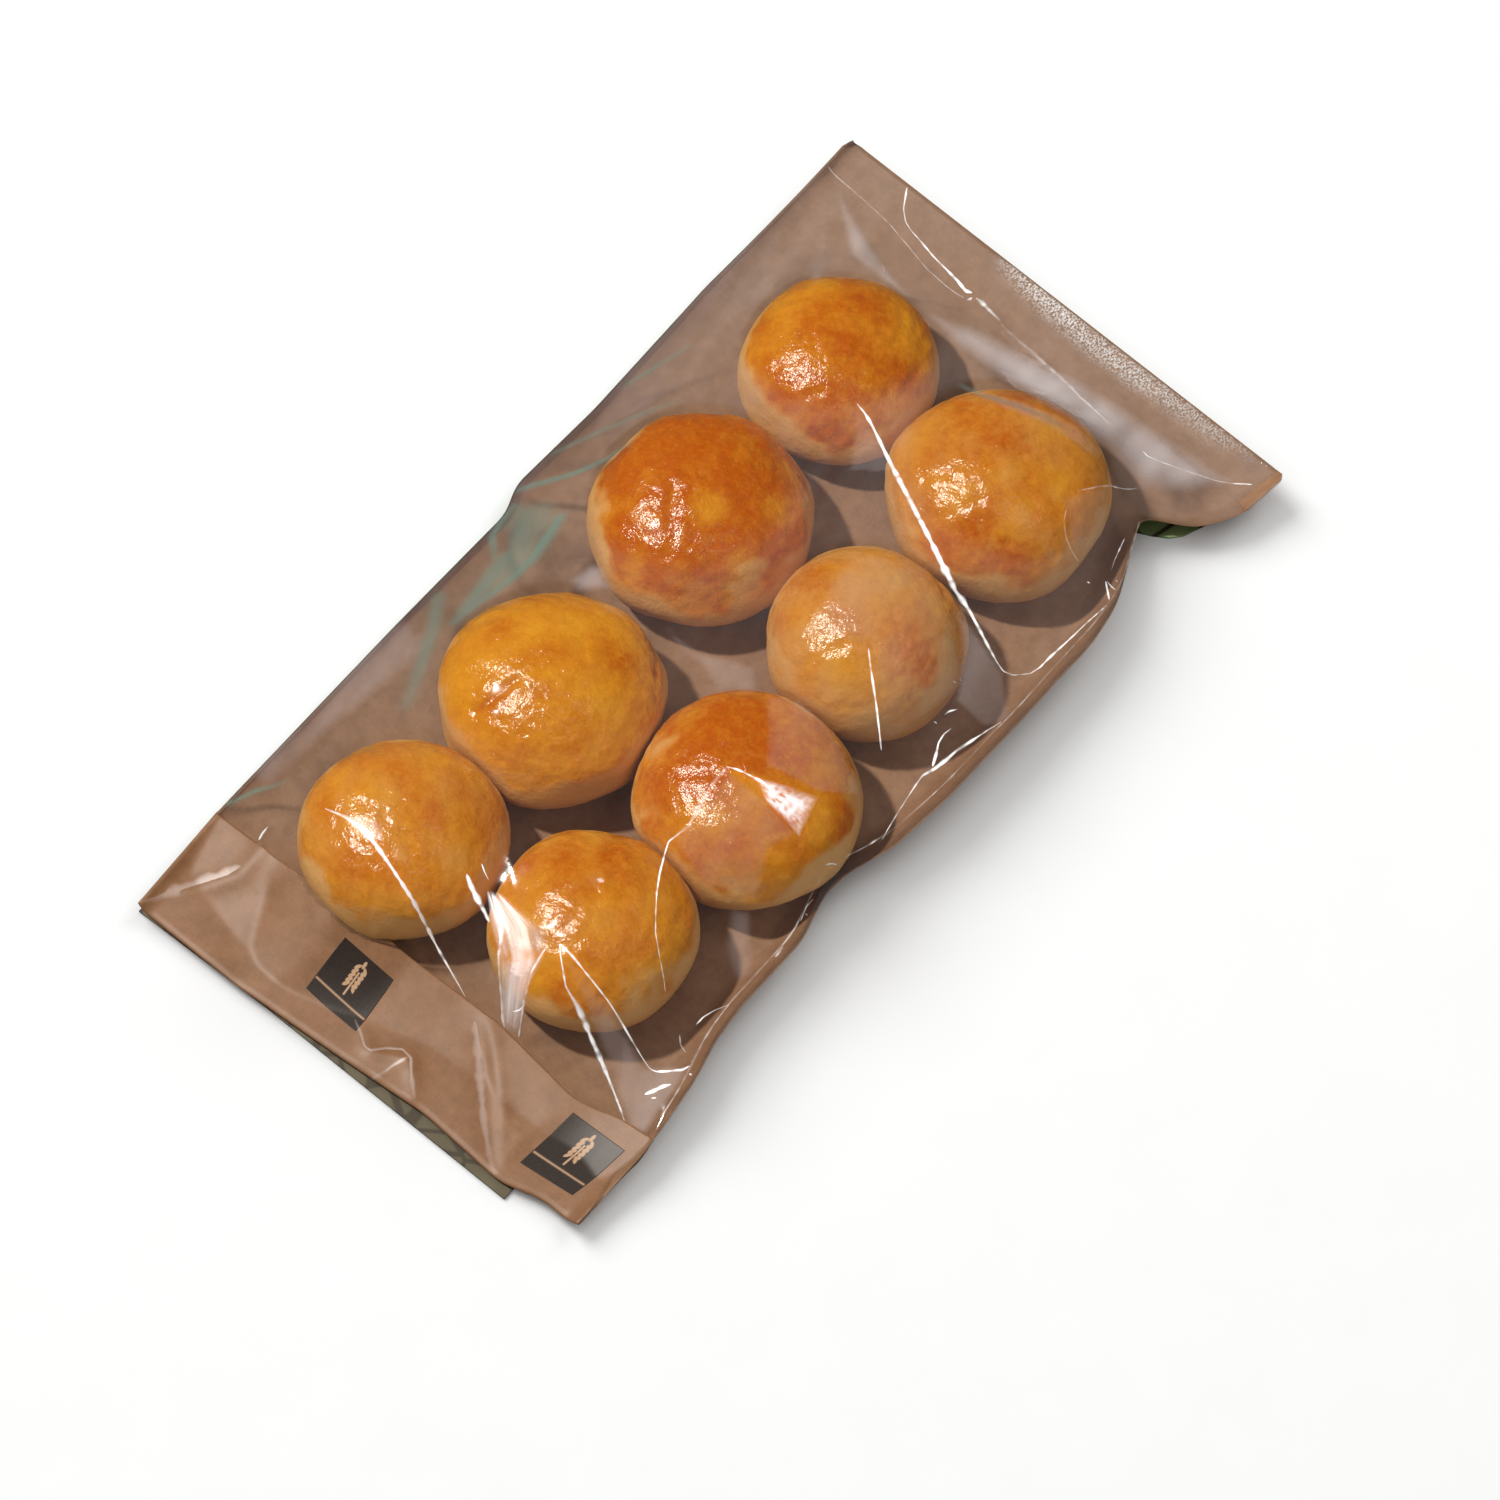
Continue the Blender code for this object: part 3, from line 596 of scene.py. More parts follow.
def makePaper():
    rows = sheet["bandRows"] + sheet["foldRows"] + sheet["backRows"]
    mesh, across, down = gridMesh("kraft_bag", sheet["columns"], rows)
    shares = np.linspace(0.0, 1.0, sheet["columns"] + 1)
    grid = np.zeros((rows + 1, sheet["columns"] + 1, 3))
    firstBack = sheet["bandRows"] + sheet["foldRows"]
    for row in range(firstBack, rows + 1):
        length = (row - firstBack) / sheet["backRows"]
        x, z = paperSection(length, shares)
        y = shapedY(x, length)
        grid[row] = np.column_stack([x, y, z + paperLift(y)])
    back = grid[firstBack, :, 2] + sheet["bandClear"]
    bandShare = pack["bandWide"] / pack["length"]
    for row in range(sheet["bandRows"] + 1):
        share = 1.0 - row / sheet["bandRows"]
        length = sheet["foldStart"] + (bandShare - sheet["foldStart"]) * share
        left, right = filmEdges(length)
        x = left + (right - left) * shares
        y = shapedY(x, length)
        z = heldHeight(x, y, share) + sheet["bandGap"]
        for rise, wide, line in bandCreases:
            distance, value = besideLine(x, y, metres(line))
            fade = smoothStep((1.0 - share) * 3.0) if rise < 0.0 else 1.0
            z += rise * mm * value * fade * np.exp(-distance / (wide * mm))
        grid[row] = np.column_stack([x, y, np.maximum(z, back)])
    band = slice(0, sheet["bandRows"] + 1)
    grid[band, :, 2] = np.maximum(evened(grid[band, :, 2], sheet["evening"]), back)
    top, low = grid[sheet["bandRows"]], grid[firstBack]
    for step in range(1, sheet["foldRows"]):
        turn = math.pi * step / sheet["foldRows"]
        part = (1.0 - math.cos(turn)) / 2.0
        spot = top * (1.0 - part) + low * part
        spot[:, 1] = np.minimum(top[:, 1], low[:, 1]) - sheet["foldBulge"] * math.sin(turn)
        grid[sheet["bandRows"] + step] = spot
    roundCorners(grid)
    writePoints(mesh, grid[down, across])
    # plain inside and printed outside; the band, its fold and the right wall are plain on both sides
    lastRow, firstColumn = firstBack + sheet["plainRows"], sheet["columns"] - sheet["plainColumns"]
    corners = [f.vertices[0] for f in mesh.polygons]
    plain = [2 if down[corner] < lastRow or across[corner] > firstColumn else 0 for corner in corners]
    mesh.polygons.foreach_set("material_index", plain)
    piece = addPiece("kraft_bag", mesh, [kraft, greenPrint, kraft, shadedBandKraft])
    giveThickness(piece, sheet["thickness"]).material_offset = 1
    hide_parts("paper_bag")
    return piece


paper = makePaper()
print("paper made")


# two squares of satin dark ink on the band, each with a thin rule and an ear of wheat left bare; the paper's fibres
# show in it, drawn as coarse as 0.7 mm
ink, tree, place = newFinish("dark_printing_ink")
mark = addNode(tree, "Attribute", attribute_name="mark").outputs["Fac"]
fibre = addNode(tree, "TexNoise", {"Scale": 1400.0, "Detail": 3.0}, {"Vector": place})
dark = addNode(tree, "Mix", {6: linear("#1b1614"), 7: linear("#3a2f2a")}, {"Factor": fibre}, data_type="RGBA")
colour = addNode(tree, "Mix", {7: linear("#b8977a")}, {"Factor": mark, 6: dark}, data_type="RGBA")
bump = addNode(tree, "Bump", {"Strength": 0.25, "Distance": 0.05 * mm}, {"Height": fibre})
shader = addNode(tree, "BsdfPrincipled", {"Roughness": 0.42, "IOR": 1.4}, {"Base Color": colour, "Normal": bump})
addNode(tree, "OutputMaterial", links={"Surface": shader})

# corners in plan, in millimetres, anticlockwise from the far left
squares = {
    "printed_square_left": [(-25.6, -139.0), (-26.2, -156.4), (-5.9, -157.3), (-7.2, -138.4)],
    "printed_square_right": [(60.6, -136.4), (58.6, -158.2), (77.2, -156.3), (80.6, -136.4)],
}
squareForm = dict(
    cells=96, cornerRound=0.015, over=0.05 * mm, thickness=0.04 * mm,
    # the drawing, in half widths of the square: its rule, and the ear's stem and leaning pairs of grains
    ruleHeight=-0.52, ruleWide=0.03, ruleReach=0.97, earHeight=0.16, stemWide=0.024, stemFoot=-0.52, stemTop=0.3,
    grains=5, grainOut=0.14, firstGrain=-0.20, grainStep=0.155, grainSize=(0.056, 0.13), lean=(0.57, 0.82),
    topGrain=0.58, topSize=(0.055, 0.125),
)


def makeSquare(name, corners, surface):
    form, cells = squareForm, squareForm["cells"]
    mesh, across, down = gridMesh(name, cells, cells)
    u, v = across / cells * 2.0 - 1.0, down / cells * 2.0 - 1.0
    rule = np.exp(-((v - form["ruleHeight"]) / form["ruleWide"]) ** 2) * (np.abs(u) < form["ruleReach"])
    lift = v - form["earHeight"]
    ear = 1.0 * ((np.abs(u) < form["stemWide"]) & (lift > form["stemFoot"]) & (lift < form["stemTop"]))
    leanOut, leanUp = form["lean"]
    for grain in range(form["grains"]):
        for side in (-1.0, 1.0):
            du, dv = u - side * form["grainOut"], lift - form["firstGrain"] - form["grainStep"] * grain
            turned = side * du * leanUp + dv * leanOut, du * leanOut - side * dv * leanUp
            ear = np.maximum(ear, np.hypot(turned[0] / form["grainSize"][0], turned[1] / form["grainSize"][1]) < 1.0)
    ear = np.maximum(ear, np.hypot(u / form["topSize"][0], (lift - form["topGrain"]) / form["topSize"][1]) < 1.0)
    writeValues(mesh, "mark", np.clip(rule + ear, 0.0, 1.0))
    k = form["cornerRound"]
    u, v = u * np.sqrt(1.0 - k * v ** 4), v * np.sqrt(1.0 - k * u ** 4)
    s, t = (u[:, None] + 1.0) / 2.0, (v[:, None] + 1.0) / 2.0
    farLeft, nearLeft, nearRight, farRight = np.array(corners) * mm
    flat = (1 - s) * (1 - t) * nearLeft + s * (1 - t) * nearRight + s * t * farRight + (1 - s) * t * farLeft
    z = [heightOn(surface, x, y) + sheet["thickness"] + form["over"] for x, y in flat]
    writePoints(mesh, np.column_stack([flat, z]))
    piece = addPiece(name, mesh, [ink])
    giveThickness(piece, form["thickness"])
    return piece


bandSurface = surfaceOf(paper)
for name, corners in squares.items():
    makeSquare(name, corners, bandSurface)
print("printed squares made")


# biaxial polypropylene film: glass clear, about 3 % reflection at each face; its seal's glitter is painted in white
# flecks drawn 0.7 mm wide so that they show, with a painted sheen on some facets and a painted green reflection on a
# few folds at its left
film, tree, place = newFinish("clear_polypropylene_film")
seal, paintedSheen, paintedTeal = [addNode(tree, "Attribute", attribute_name=name).outputs["Fac"] for name in ("seal", "paintedSheen", "paintedTeal")]
facing = addNode(tree, "LayerWeight", {"Blend": 0.5}).outputs["Facing"]
grazing = addNode(tree, "Math", {1: 5.0}, {0: facing}, operation="POWER")
edgeShare = addNode(tree, "Math", {1: 0.97, 2: 0.03}, {0: grazing}, operation="MULTIPLY_ADD")
flecks = addNode(tree, "TexNoise", {"Scale": 1500.0, "Detail": 2.0}, {"Vector": place})
fleckShare = addNode(tree, "MapRange", {"From Min": 0.42, "From Max": 0.66}, {"Value": flecks})
sealed = addNode(tree, "Math", links={0: seal, 1: fleckShare}, operation="MULTIPLY")
# clear film, then its gloss, the seal's painted glitter, the painted sheen and the painted green reflection, each laid
# over the last by its share
surface = addNode(tree, "BsdfTransparent", {"Color": linear("#fafaf9")})
for share, kind, values in (
    (edgeShare, "BsdfGlossy", {"Roughness": 0.09, "Color": linear("#ffffff")}),
    (sealed, "BsdfDiffuse", {"Color": linear("#fbfbff"), "Roughness": 0.2}),
    (paintedSheen, "BsdfDiffuse", {"Color": linear("#f1e9ee")}),
    (paintedTeal, "BsdfDiffuse", {"Color": linear("#6d9087")}),
):
    surface = addNode(tree, "MixShader", links={0: share, 1: surface, 2: addNode(tree, kind, values)})
addNode(tree, "OutputMaterial", links={"Surface": surface})

filmForm = dict(
    columns=150, rows=285, skirt=7, rounds=3000, evening=5,  # cells, and how often its form is drawn taut and evened
    inset=0.0035, farInset=0.0006, seam=0.35 * mm, over=0.42 * mm, thickness=0.10 * mm, sealStart=0.1505,
    underBand=2.4 * mm, farHeight=0.9 * mm, rimInset=0.3 * mm, flapBulge=0.2 * mm,
    crinkle=0.16 * mm, crinkleSize=0.026, crinkleSharp=0.16, wrinkle=0.05 * mm, wrinkleSize=0.007,
    ridgeReach=5.0 * mm, ridgeFade=9.0 * mm, ridgeSlack=0.05 * mm, ridgeHold=0.15 * mm,
    sealWide=3.4, tint=0.8, streak=0.14, streakSize=0.009,
    # painted sheen where the film lies on a crust, where it spans free, what is added at the far left, and at the left
    # rim
    clearSheen=0.002, freeSheen=0.005, farSheen=0.027, rimSheen=0.015,
    gapFrom=1.6 * mm, gapRun=7.0 * mm, rimRun=6.0 * mm,  # heights over a crust where it goes free; reach of the rim's painted sheen
)
# creases in the film: how far each stands up and how gently it bends, in millimetres, or 0 where it only carries a
# painted glint, and its places with their heights, how strong the painted glint is there and how wide its line
creases = [
    (1.6, 5.0, [(-17.3, 87, 34.7, 0.8, 1.2), (-13.7, 85.9, 35.4, 0.95, 1.8), (-8.1, 83.4, 36.1, 1, 2.4),
        (1, 78.5, 36.6, 1, 3), (11, 73.4, 37.3, 1, 3.4), (20.8, 68.6, 37.4, 1, 3.6), (30.4, 64, 37.2, 1, 4),
        (38.4, 60, 36.6, 1, 4), (42.6, 58.2, 35.9, 1, 5), (46.4, 56.3, 35.1, 0.9, 2.6), (49.7, 55.7, 34.2, 1, 4.6),
        (53.7, 54.5, 33.2, 1, 2.6), (62.4, 51.1, 30.3, 1, 2.2), (68.5, 48.9, 28, 0.9, 1.6),
        (71.8, 48.2, 26.7, 0.6, 1.2), (74.6, 49.6, 25.5, 0.5, 1), (77.6, 54, 24.1, 0.55, 1),
        (78.3, 57.4, 23.7, 0.8, 1.6), (78.4, 62.5, 23.6, 0.9, 1.6), (79.1, 73.5, 23.1, 0.75, 1.1),
        (79.5, 84, 22.4, 0.75, 1), (79.4, 87, 21.9, 0.5, 1.4)]),
    (1.4, 4.0, [(40, 23.3, 40.1, 0.6, 1.2), (43.9, 19.5, 38.3, 0.9, 1.4), (48.4, 15.6, 36, 1, 2.4),
        (52.7, 11.8, 34.2, 1, 1.6), (58.2, 6.6, 32, 0.95, 1.5), (61.9, 3.1, 29.6, 0.5, 1)]),
    (0.8, 6.0, [(33.1, -33.4, 38.2, 0.2, 2.2), (33.2, -39.5, 38.7, 0.12, 3.4), (34.3, -46.3, 37.3, 0.16, 4.4),
        (36.1, -54.8, 35.6, 0.14, 3.2), (35.1, -60, 35.6, 0.3, 1.6), (34.7, -62.2, 35.9, 0.9, 1.4),
        (36.5, -66.2, 35.7, 1, 1.6), (39.3, -71.7, 35.4, 0.95, 1.5), (42.8, -77.2, 35.2, 0.8, 1.2),
        (46.7, -82.2, 34.9, 0.6, 1), (50.5, -86.8, 34, 0.45, 1), (55.4, -90.8, 31.2, 0.35, 1),
        (59.7, -94.1, 27.3, 0.3, 1), (62.5, -96.6, 24.9, 0.15, 1)]),
    (0.0, 0.0, [(32.6, -33.7, 38.2, 0.8, 1.2), (35.4, -32.4, 38.5, 1, 1.6), (38.5, -31.6, 38.6, 1, 2),
        (42.1, -30.9, 38.2, 1, 2.6), (45.5, -30.4, 37.8, 0.9, 3)]),
    (1.2, 4.0, [(-51.1, -117.8, 31.7, 0.35, 1.2), (-43, -117.4, 35.7, 0.5, 2), (-38.2, -117.1, 36.7, 0.7, 3.4),
        (-34, -117.8, 36.7, 1, 4.6), (-29.3, -118.8, 36.4, 1, 3.4), (-22.2, -120.7, 34.7, 1, 2.4),
        (-15.5, -122.3, 31.3, 1, 2.8), (-9.8, -123.4, 25.7, 1, 3.3), (-5.5, -124.2, 19.9, 1, 2.4),
        (-0.7, -125.5, 14.9, 1, 2), (5.2, -127.1, 11.1, 0.9, 1.7), (12.7, -129.2, 7.3, 0.7, 1)]),
    (0.0, 0.0, [(-5.4, -106.8, 31, 0.7, 2), (-2.4, -108.4, 30.1, 1, 4.6), (1.7, -110.1, 28.9, 1, 5.4),
        (5.6, -111.5, 27.4, 0.8, 3), (8.8, -113, 26.6, 0.4, 2)]),
    (0.0, 0.0, [(-3.7, -101.9, 32.1, 0.9, 1.3), (-1.6, -103.1, 31.5, 0.9, 1.5), (1.1, -104.3, 30.9, 0.4, 1)]),
    (0.0, 0.0, [(4.2, -106.6, 29.9, 0.4, 2), (7.5, -108.2, 29.4, 0.7, 3.4), (10.3, -110.2, 28.9, 1, 3.6),
        (13.4, -112.8, 28.4, 1, 3.6), (15.9, -116.4, 26.6, 0.45, 3.4), (17.9, -119.7, 23.7, 0.35, 3)]),
    (0.0, 0.0, [(16.3, -117.8, 25.3, 0.3, 2), (20.4, -122.2, 21, 0.55, 2), (24.2, -125.9, 14.9, 0.6, 1.8),
        (26.4, -128.3, 9.6, 0.8, 1.8), (28, -129.3, 7.7, 0.9, 2)]),
    (0.0, 0.0, [(29.1, -111.2, 33.3, 0.3, 2), (29.5, -117.6, 29.2, 0.45, 2), (31.2, -123.6, 20.8, 0.55, 2),
        (32.4, -126.5, 14.6, 0.6, 1.8), (33.7, -129.7, 7.9, 0.5, 1.4)]),
    (0.0, 0.0, [(28.8, -126.4, 14.5, 0.7, 1), (30.9, -125.6, 16.7, 1, 2), (31.9, -124.4, 18.9, 0.8, 1.4)]),
    (1.4, 4.0, [(31.7, -107.9, 35, 0.8, 1.1), (34.5, -110.7, 34.4, 0.8, 1.3), (38.1, -113.7, 32.5, 0.8, 1.4),
        (40.6, -115.7, 30.3, 0.8, 1.6), (43, -116.4, 28.6, 0.8, 3), (46.1, -117, 26.2, 0.85, 4.4),
        (49.8, -118.2, 23, 0.9, 4.6), (53.9, -120, 19.8, 1, 4.4), (58, -121.6, 17.1, 1, 3.4),
        (62, -123.3, 14.4, 1, 2.6), (67.1, -125.7, 11.4, 1, 2), (71.7, -128, 9, 0.9, 1.7),
        (76.6, -130.7, 6.5, 0.7, 1)]),
    (1.4, 3.0, [(31.7, -107.9, 35, 0.8, 1.2), (37.4, -108.7, 35.1, 0.9, 2.2), (43, -109.6, 33.2, 0.8, 1.6),
        (48.4, -110.1, 30.4, 0.8, 1.5), (52.5, -110.4, 27.6, 0.9, 1.8), (55.1, -110.9, 25.8, 0.8, 1.2),
        (57.9, -111.5, 23.8, 0.9, 1.6), (61.8, -112.5, 21.2, 0.9, 1.8), (64.7, -113.2, 19.4, 0.8, 1.4),
        (68.2, -114.2, 17.6, 0.5, 1), (72, -115.1, 16.1, 0.6, 1), (73.9, -114.6, 15.7, 0.9, 1.2),
        (76.9, -112.3, 16.1, 1, 1.5), (79.7, -109.4, 15.9, 1, 1.8), (80.6, -106.8, 16.2, 0.3, 1)]),
    (0.6, 5.0, [(75, -121.1, 12, 0.6, 1.6), (76.8, -118.6, 13.3, 1, 3.4), (78, -116.4, 14, 0.9, 2.8),
        (79.7, -114.4, 14.4, 0.8, 1.4)]),
    (0.0, 0.0, [(77.2, -120.9, 12.1, 0.3, 1.2), (78.6, -119.8, 12.7, 0.6, 1.6)]),
    (1.3, 5.0, [(72.5, -11.9, 0.5, 0.2, 0.8), (77.8, -15.4, 20.1, 0.3, 1), (76.8, -8.3, 23.2, 0.22, 1),
        (76, -2.7, 24, 0.28, 1.2), (75.3, 2.4, 24.7, 0.38, 1.4), (74.9, 6.5, 25.2, 0.75, 1.6),
        (76.1, 10.7, 24.8, 0.9, 2.3), (76.8, 15, 24.6, 0.95, 2.6), (77.2, 19.6, 24.6, 0.5, 2.4),
        (78.3, 24.8, 24.1, 0.8, 2), (79.5, 30.5, 23.6, 0.6, 1.4), (80.6, 36.7, 22.1, 0.4, 1)]),
    (0.8, 4.0, [(75.3, 10.7, 25.2, 1, 2.8), (73.4, 14.9, 25.6, 0.9, 2.2), (72, 17.5, 26.6, 0.8, 1.8),
        (71.4, 21, 26.3, 0.6, 1.4), (71.8, 23.9, 25.8, 0.3, 1)]),
    (0.0, 0.0, [(67.8, 25, 27.6, 0.5, 1.1), (68.2, 27.2, 27.4, 0.95, 1.5), (69.5, 29.4, 27, 0.4, 1)]),
    (0.0, 0.0, [(71, -33.7, 22.9, 0.8, 1), (71.8, -31.4, 21.1, 1, 1.6), (73.3, -28.9, 17.8, 0.7, 1)]),
    (0.0, 0.0, [(74.3, -97, 19.2, 0.4, 1), (74.4, -93.5, 19.7, 0.55, 1.1), (75.5, -89.4, 19.5, 0.45, 1),
        (77.2, -85.1, 18.2, 0.3, 0.9)]),
    (0.0, 0.0, [(72.6, -102.2, 19.1, 0.3, 0.9), (74.7, -104.3, 17.9, 0.35, 1), (77.5, -104.9, 17.2, 0.25, 0.9)]),
    (0.0, 0.0, [(76.3, -51.5, 19.6, 0.25, 1), (74.6, -46.7, 19.9, 0.3, 1), (74.3, -43, 19, 0.2, 1)]),
    (0.0, 0.0, [(77.3, -60.4, 18.9, 0.2, 1.4), (77.7, -64.6, 18.5, 0.25, 2), (73.2, -63.3, 0.8, 0.2, 1.6)]),
    (0.0, 0.0, [(74.3, 93.8, 21.8, 0.8, 1.1), (76.6, 91.9, 21.5, 1, 1.5), (78.9, 90, 21.3, 0.9, 1.2)]),
    (0.0, 0.0, [(74.5, 94.1, 21.6, 0.6, 1), (76.6, 93.9, 20.6, 0.8, 1.2), (78.2, 94.3, 19.4, 0.6, 1)]),
    (0.0, 0.0, [(68.4, 110.5, 17.6, 0.7, 1), (70, 106, 19, 0.7, 1.1), (71.6, 101.6, 20.3, 0.4, 1),
        (73.2, 98, 20.9, 0.25, 1)]),
    (0.0, 0.0, [(52.2, 106.7, 32.9, 0.15, 1.2), (54.4, 111.7, 30.4, 0.3, 1.2), (55.8, 116.5, 26.5, 0.45, 1.3),
        (56.3, 119.5, 23, 0.95, 1.6), (57.2, 121.9, 20, 0.4, 1.2), (60.8, 126.7, 17.5, 0.15, 1)]),
    (0.5, 5.0, [(-65, 170.2, 6, 0.7, 1), (-61.9, 165, 8.7, 0.9, 1.3), (-59.7, 161.3, 8, 0.4, 1),
        (-56.2, 158.1, 7.4, 0.45, 1), (-52.9, 156.9, 7.2, 0.5, 1), (-48.4, 155.9, 7.3, 0.75, 1.1),
        (-42.4, 154.5, 7.2, 0.8, 1.5), (-36.5, 153.5, 7.1, 0.85, 1.8), (-31, 152.6, 6.9, 1, 2),
        (-26.3, 151.3, 7.7, 1, 3.2), (-24.2, 151.7, 7.8, 0.9, 2)]),
    (0.0, 0.0, [(-23.3, 147.5, 9.9, 0.7, 1.6), (-23.1, 148.8, 9.1, 1, 2.4), (-23.2, 150.3, 8.2, 0.7, 1.6)]),
    (0.0, 0.0, [(-22.1, 150.5, 8, 0.6, 1.6), (-19.7, 151, 6.3, 0.85, 3), (-15.7, 150, 7.1, 0.6, 3),
        (-10.9, 148.9, 7.9, 0.15, 2.4)]),
    (0.5, 6.0, [(-86.8, 157.1, 10.1, 0.5, 0.9), (-81.3, 156.8, 7.5, 0.3, 0.9), (-75.8, 156.5, 7.1, 0.22, 0.9),
        (-68.3, 155.7, 7.1, 0.16, 0.9), (-60.3, 154.7, 7.4, 0.18, 0.9), (-50.7, 152.4, 8.1, 0.2, 0.9),
        (-40.8, 149.5, 8.7, 0.2, 0.9), (-31.6, 148, 9.3, 0.25, 0.9), (-24.6, 148.1, 9.6, 0.4, 0.9)]),
    (0.5, 5.0, [(53.8, 137.4, 17.7, 0.6, 1), (55.9, 137.1, 17.4, 0.95, 1.6), (58.4, 138.5, 15.9, 0.8, 1.1),
        (63.5, 141.6, 13.2, 0.45, 1), (70, 145.8, 10, 0.35, 1), (77.7, 151, 6.6, 0.4, 1),
        (83.3, 154.7, 6.8, 0.6, 1.4)]),
    (0.5, 8.0, [(-10.2, 148, 8.6, 0.08, 3), (3, 146.3, 10.3, 0.16, 4), (17.1, 143.5, 12.7, 0.2, 4),
        (29.4, 140.1, 16.5, 0.24, 3), (41, 137.7, 19.3, 0.1, 2)]),
    (0.0, 0.0, [(-67.5, -130.4, 8.8, 1, 2.2), (-67.7, -128.4, 10, 0.9, 1.6), (-67.2, -126.1, 11.8, 0.5, 1)]),
    (0.0, 0.0, [(-66.6, -130.6, 8.9, 0.5, 1.2), (-67.1, -134.6, 7.1, 0.55, 1.3), (-66.8, -138.6, 6.2, 0.5, 1.1),
        (-66.6, -141.5, 5.6, 0.25, 1)]),
    (0.0, 0.0, [(53.4, 100.5, 32.9, 0.08, 1), (55.4, 96.6, 31.9, 0.16, 1), (59.3, 93.3, 29.9, 0.16, 1),
        (63.9, 91.6, 27.8, 0.14, 1), (66.5, 91.2, 26.4, 0.06, 1)]),
]
# short glints: one such place each
glints = [(82.3, -108.8, 15.7, 1, 1.8), (76.7, -78, 6, 1, 1.7), (71.6, 88.9, 24.4, 1, 1.8),
    (76.2, 96.9, 19.6, 1, 1.6), (67.5, 21.5, 27.8, 0.9, 2), (79.9, -105.5, 16.6, 0.5, 1),
    (63.9, 34.8, 29.5, 0.4, 1.6), (64.7, 36.6, 29.2, 0.3, 1.4), (81.8, 56.5, 21.1, 0.35, 2),
    (76.1, -48.4, 19.2, 0.4, 1.6), (74.6, -43.4, 10, 0.35, 1.3), (27.4, -129.6, 6.8, 0.9, 1.8),
    (79.4, 87.5, 21.8, 0.5, 1.4), (28.2, -85.3, 36.8, 0.25, 4)]
# painted reflections of a pale surrounding on facets of the film: how strong, how soft its border, and its corners
paintedReflections = [
    (0.06, 0.5, [(-17.1, 86.7), (0.6, 78.5), (6.7, 75.4), (-3.6, 67.5)]),
    (0.036, 0.9, [(26.5, -7.2), (34.8, -1.9), (49.4, -3.3), (66.5, -11.2), (57.6, -21), (41.9, -25.6)]),
    (0.035, 2, [(33.4, -33.8), (49.1, -33.8), (61.4, -35.1), (58.5, -44.1), (65.4, -57.7), (49.9, -65.7),
        (34.9, -60.7), (34.9, -47.9)]),
    (0.08, 1.5, [(47.8, 53.8), (71.8, 48.2), (82.4, 39.7), (78.9, 31.2), (67.4, 31), (59.3, 44)]),
    (0.03, 2, [(39.8, 24.1), (37.2, 41.6), (56, 44.8), (66.9, 34.8), (62.1, 2.9)]),
    (0.03, 5, [(20.2, 11), (13.4, 47.1), (34.5, 59), (57.4, 46.4), (40, 24.3)]),
    (0.37, 12, [(-32.1, 128.3), (-12.1, 143), (19.5, 150.3), (49.6, 151.8), (82, 155.3), (73.9, 135.9), (63.7, 124.4),
        (48.6, 125.4), (25, 123), (-12.8, 124.1)]),
    (0.19, 4, [(-86.1, 156.8), (-82.6, 156.5), (-24, 128.5), (-43, 129), (-59.5, 133.5)]),
    (0.07, 4, [(-85.8, 156.4), (-58.7, 128.6), (-53.3, 110.9), (-65.5, 118.5)]),
    (0.05, 7, [(-106, 84.9), (-92, 149.6), (-60.8, 108), (-66.5, 88.7), (-59.8, 64.3), (-74.3, 34.4), (-78.3, 20.2)]),
    (0.065, 10, [(-96, -118), (-96, -35.7), (-62, -49), (-69.9, -94.7), (-72.4, -119.3)]),
    (0.07, 3, [(59.3, -64.2), (64.7, -59.6), (77.1, -73), (75.5, -80.3), (65.3, -74)]),
    (0.02, 0.6, [(24.6, -86.6), (26.9, -83.8), (29.7, -85.4), (27.3, -88.8)]),
    (0.04, 2, [(50.7, 101.7), (56.2, 119.6), (66.1, 103.9), (66.7, 91), (60.6, 92.7)]),
    (0.045, 1.5, [(-0.2, 113.4), (13.8, 117.6), (36.7, 125.4), (48.6, 125.4), (48.5, 120.5), (33.1, 117.6),
        (17.4, 113.1)]),
    (0.13, 5, [(-47.5, -13.7), (-46.4, -3.5), (-40.3, -1.9), (-34.7, -5.6), (-24.8, -9.5), (-31.7, -9.1),
        (-40.3, -16.3)]),
    (0.07, 4, [(-16, -8.3), (-10.3, -7.4), (0.1, -8.2), (10.5, -3.2), (18.2, -0.5), (25.3, -8.9), (14.7, -17.8),
        (6.4, -13.8), (-5.6, -12.9)]),
    (0.14, 3, [(2.4, -106.8), (6.3, -105), (26.5, -106.8), (31.1, -112.2), (18.8, -119.8), (9.5, -113.4)]),
    (0.14, 2, [(18.8, -119.8), (30.8, -112.4), (31.1, -120.6), (33.9, -129.5), (27.3, -129.5)]),
    (0.1, 2.5, [(57.9, -111.5), (70, -115), (82, -106), (83, -131), (76.6, -130.7), (67, -125.7)]),
    (0.05, 2, [(34, -110), (52, -110.5), (72, -115), (75, -129.5), (60, -121)]),
]
# painted green reflections in the film at its left: how strongly, how soft its border, and its corners
tealReflections = [
    (0.3, 6, [(-85.5, 6.3), (-71.3, 11.8), (-64.1, 5.5), (-65, -1.3), (-61.6, -10.9), (-60.6, -31.2), (-61.8, -43.1),
        (-70.9, -42.5), (-76.2, -33.7), (-77.5, -18.9), (-75.4, -10.6), (-82.3, -3.8)]),
]
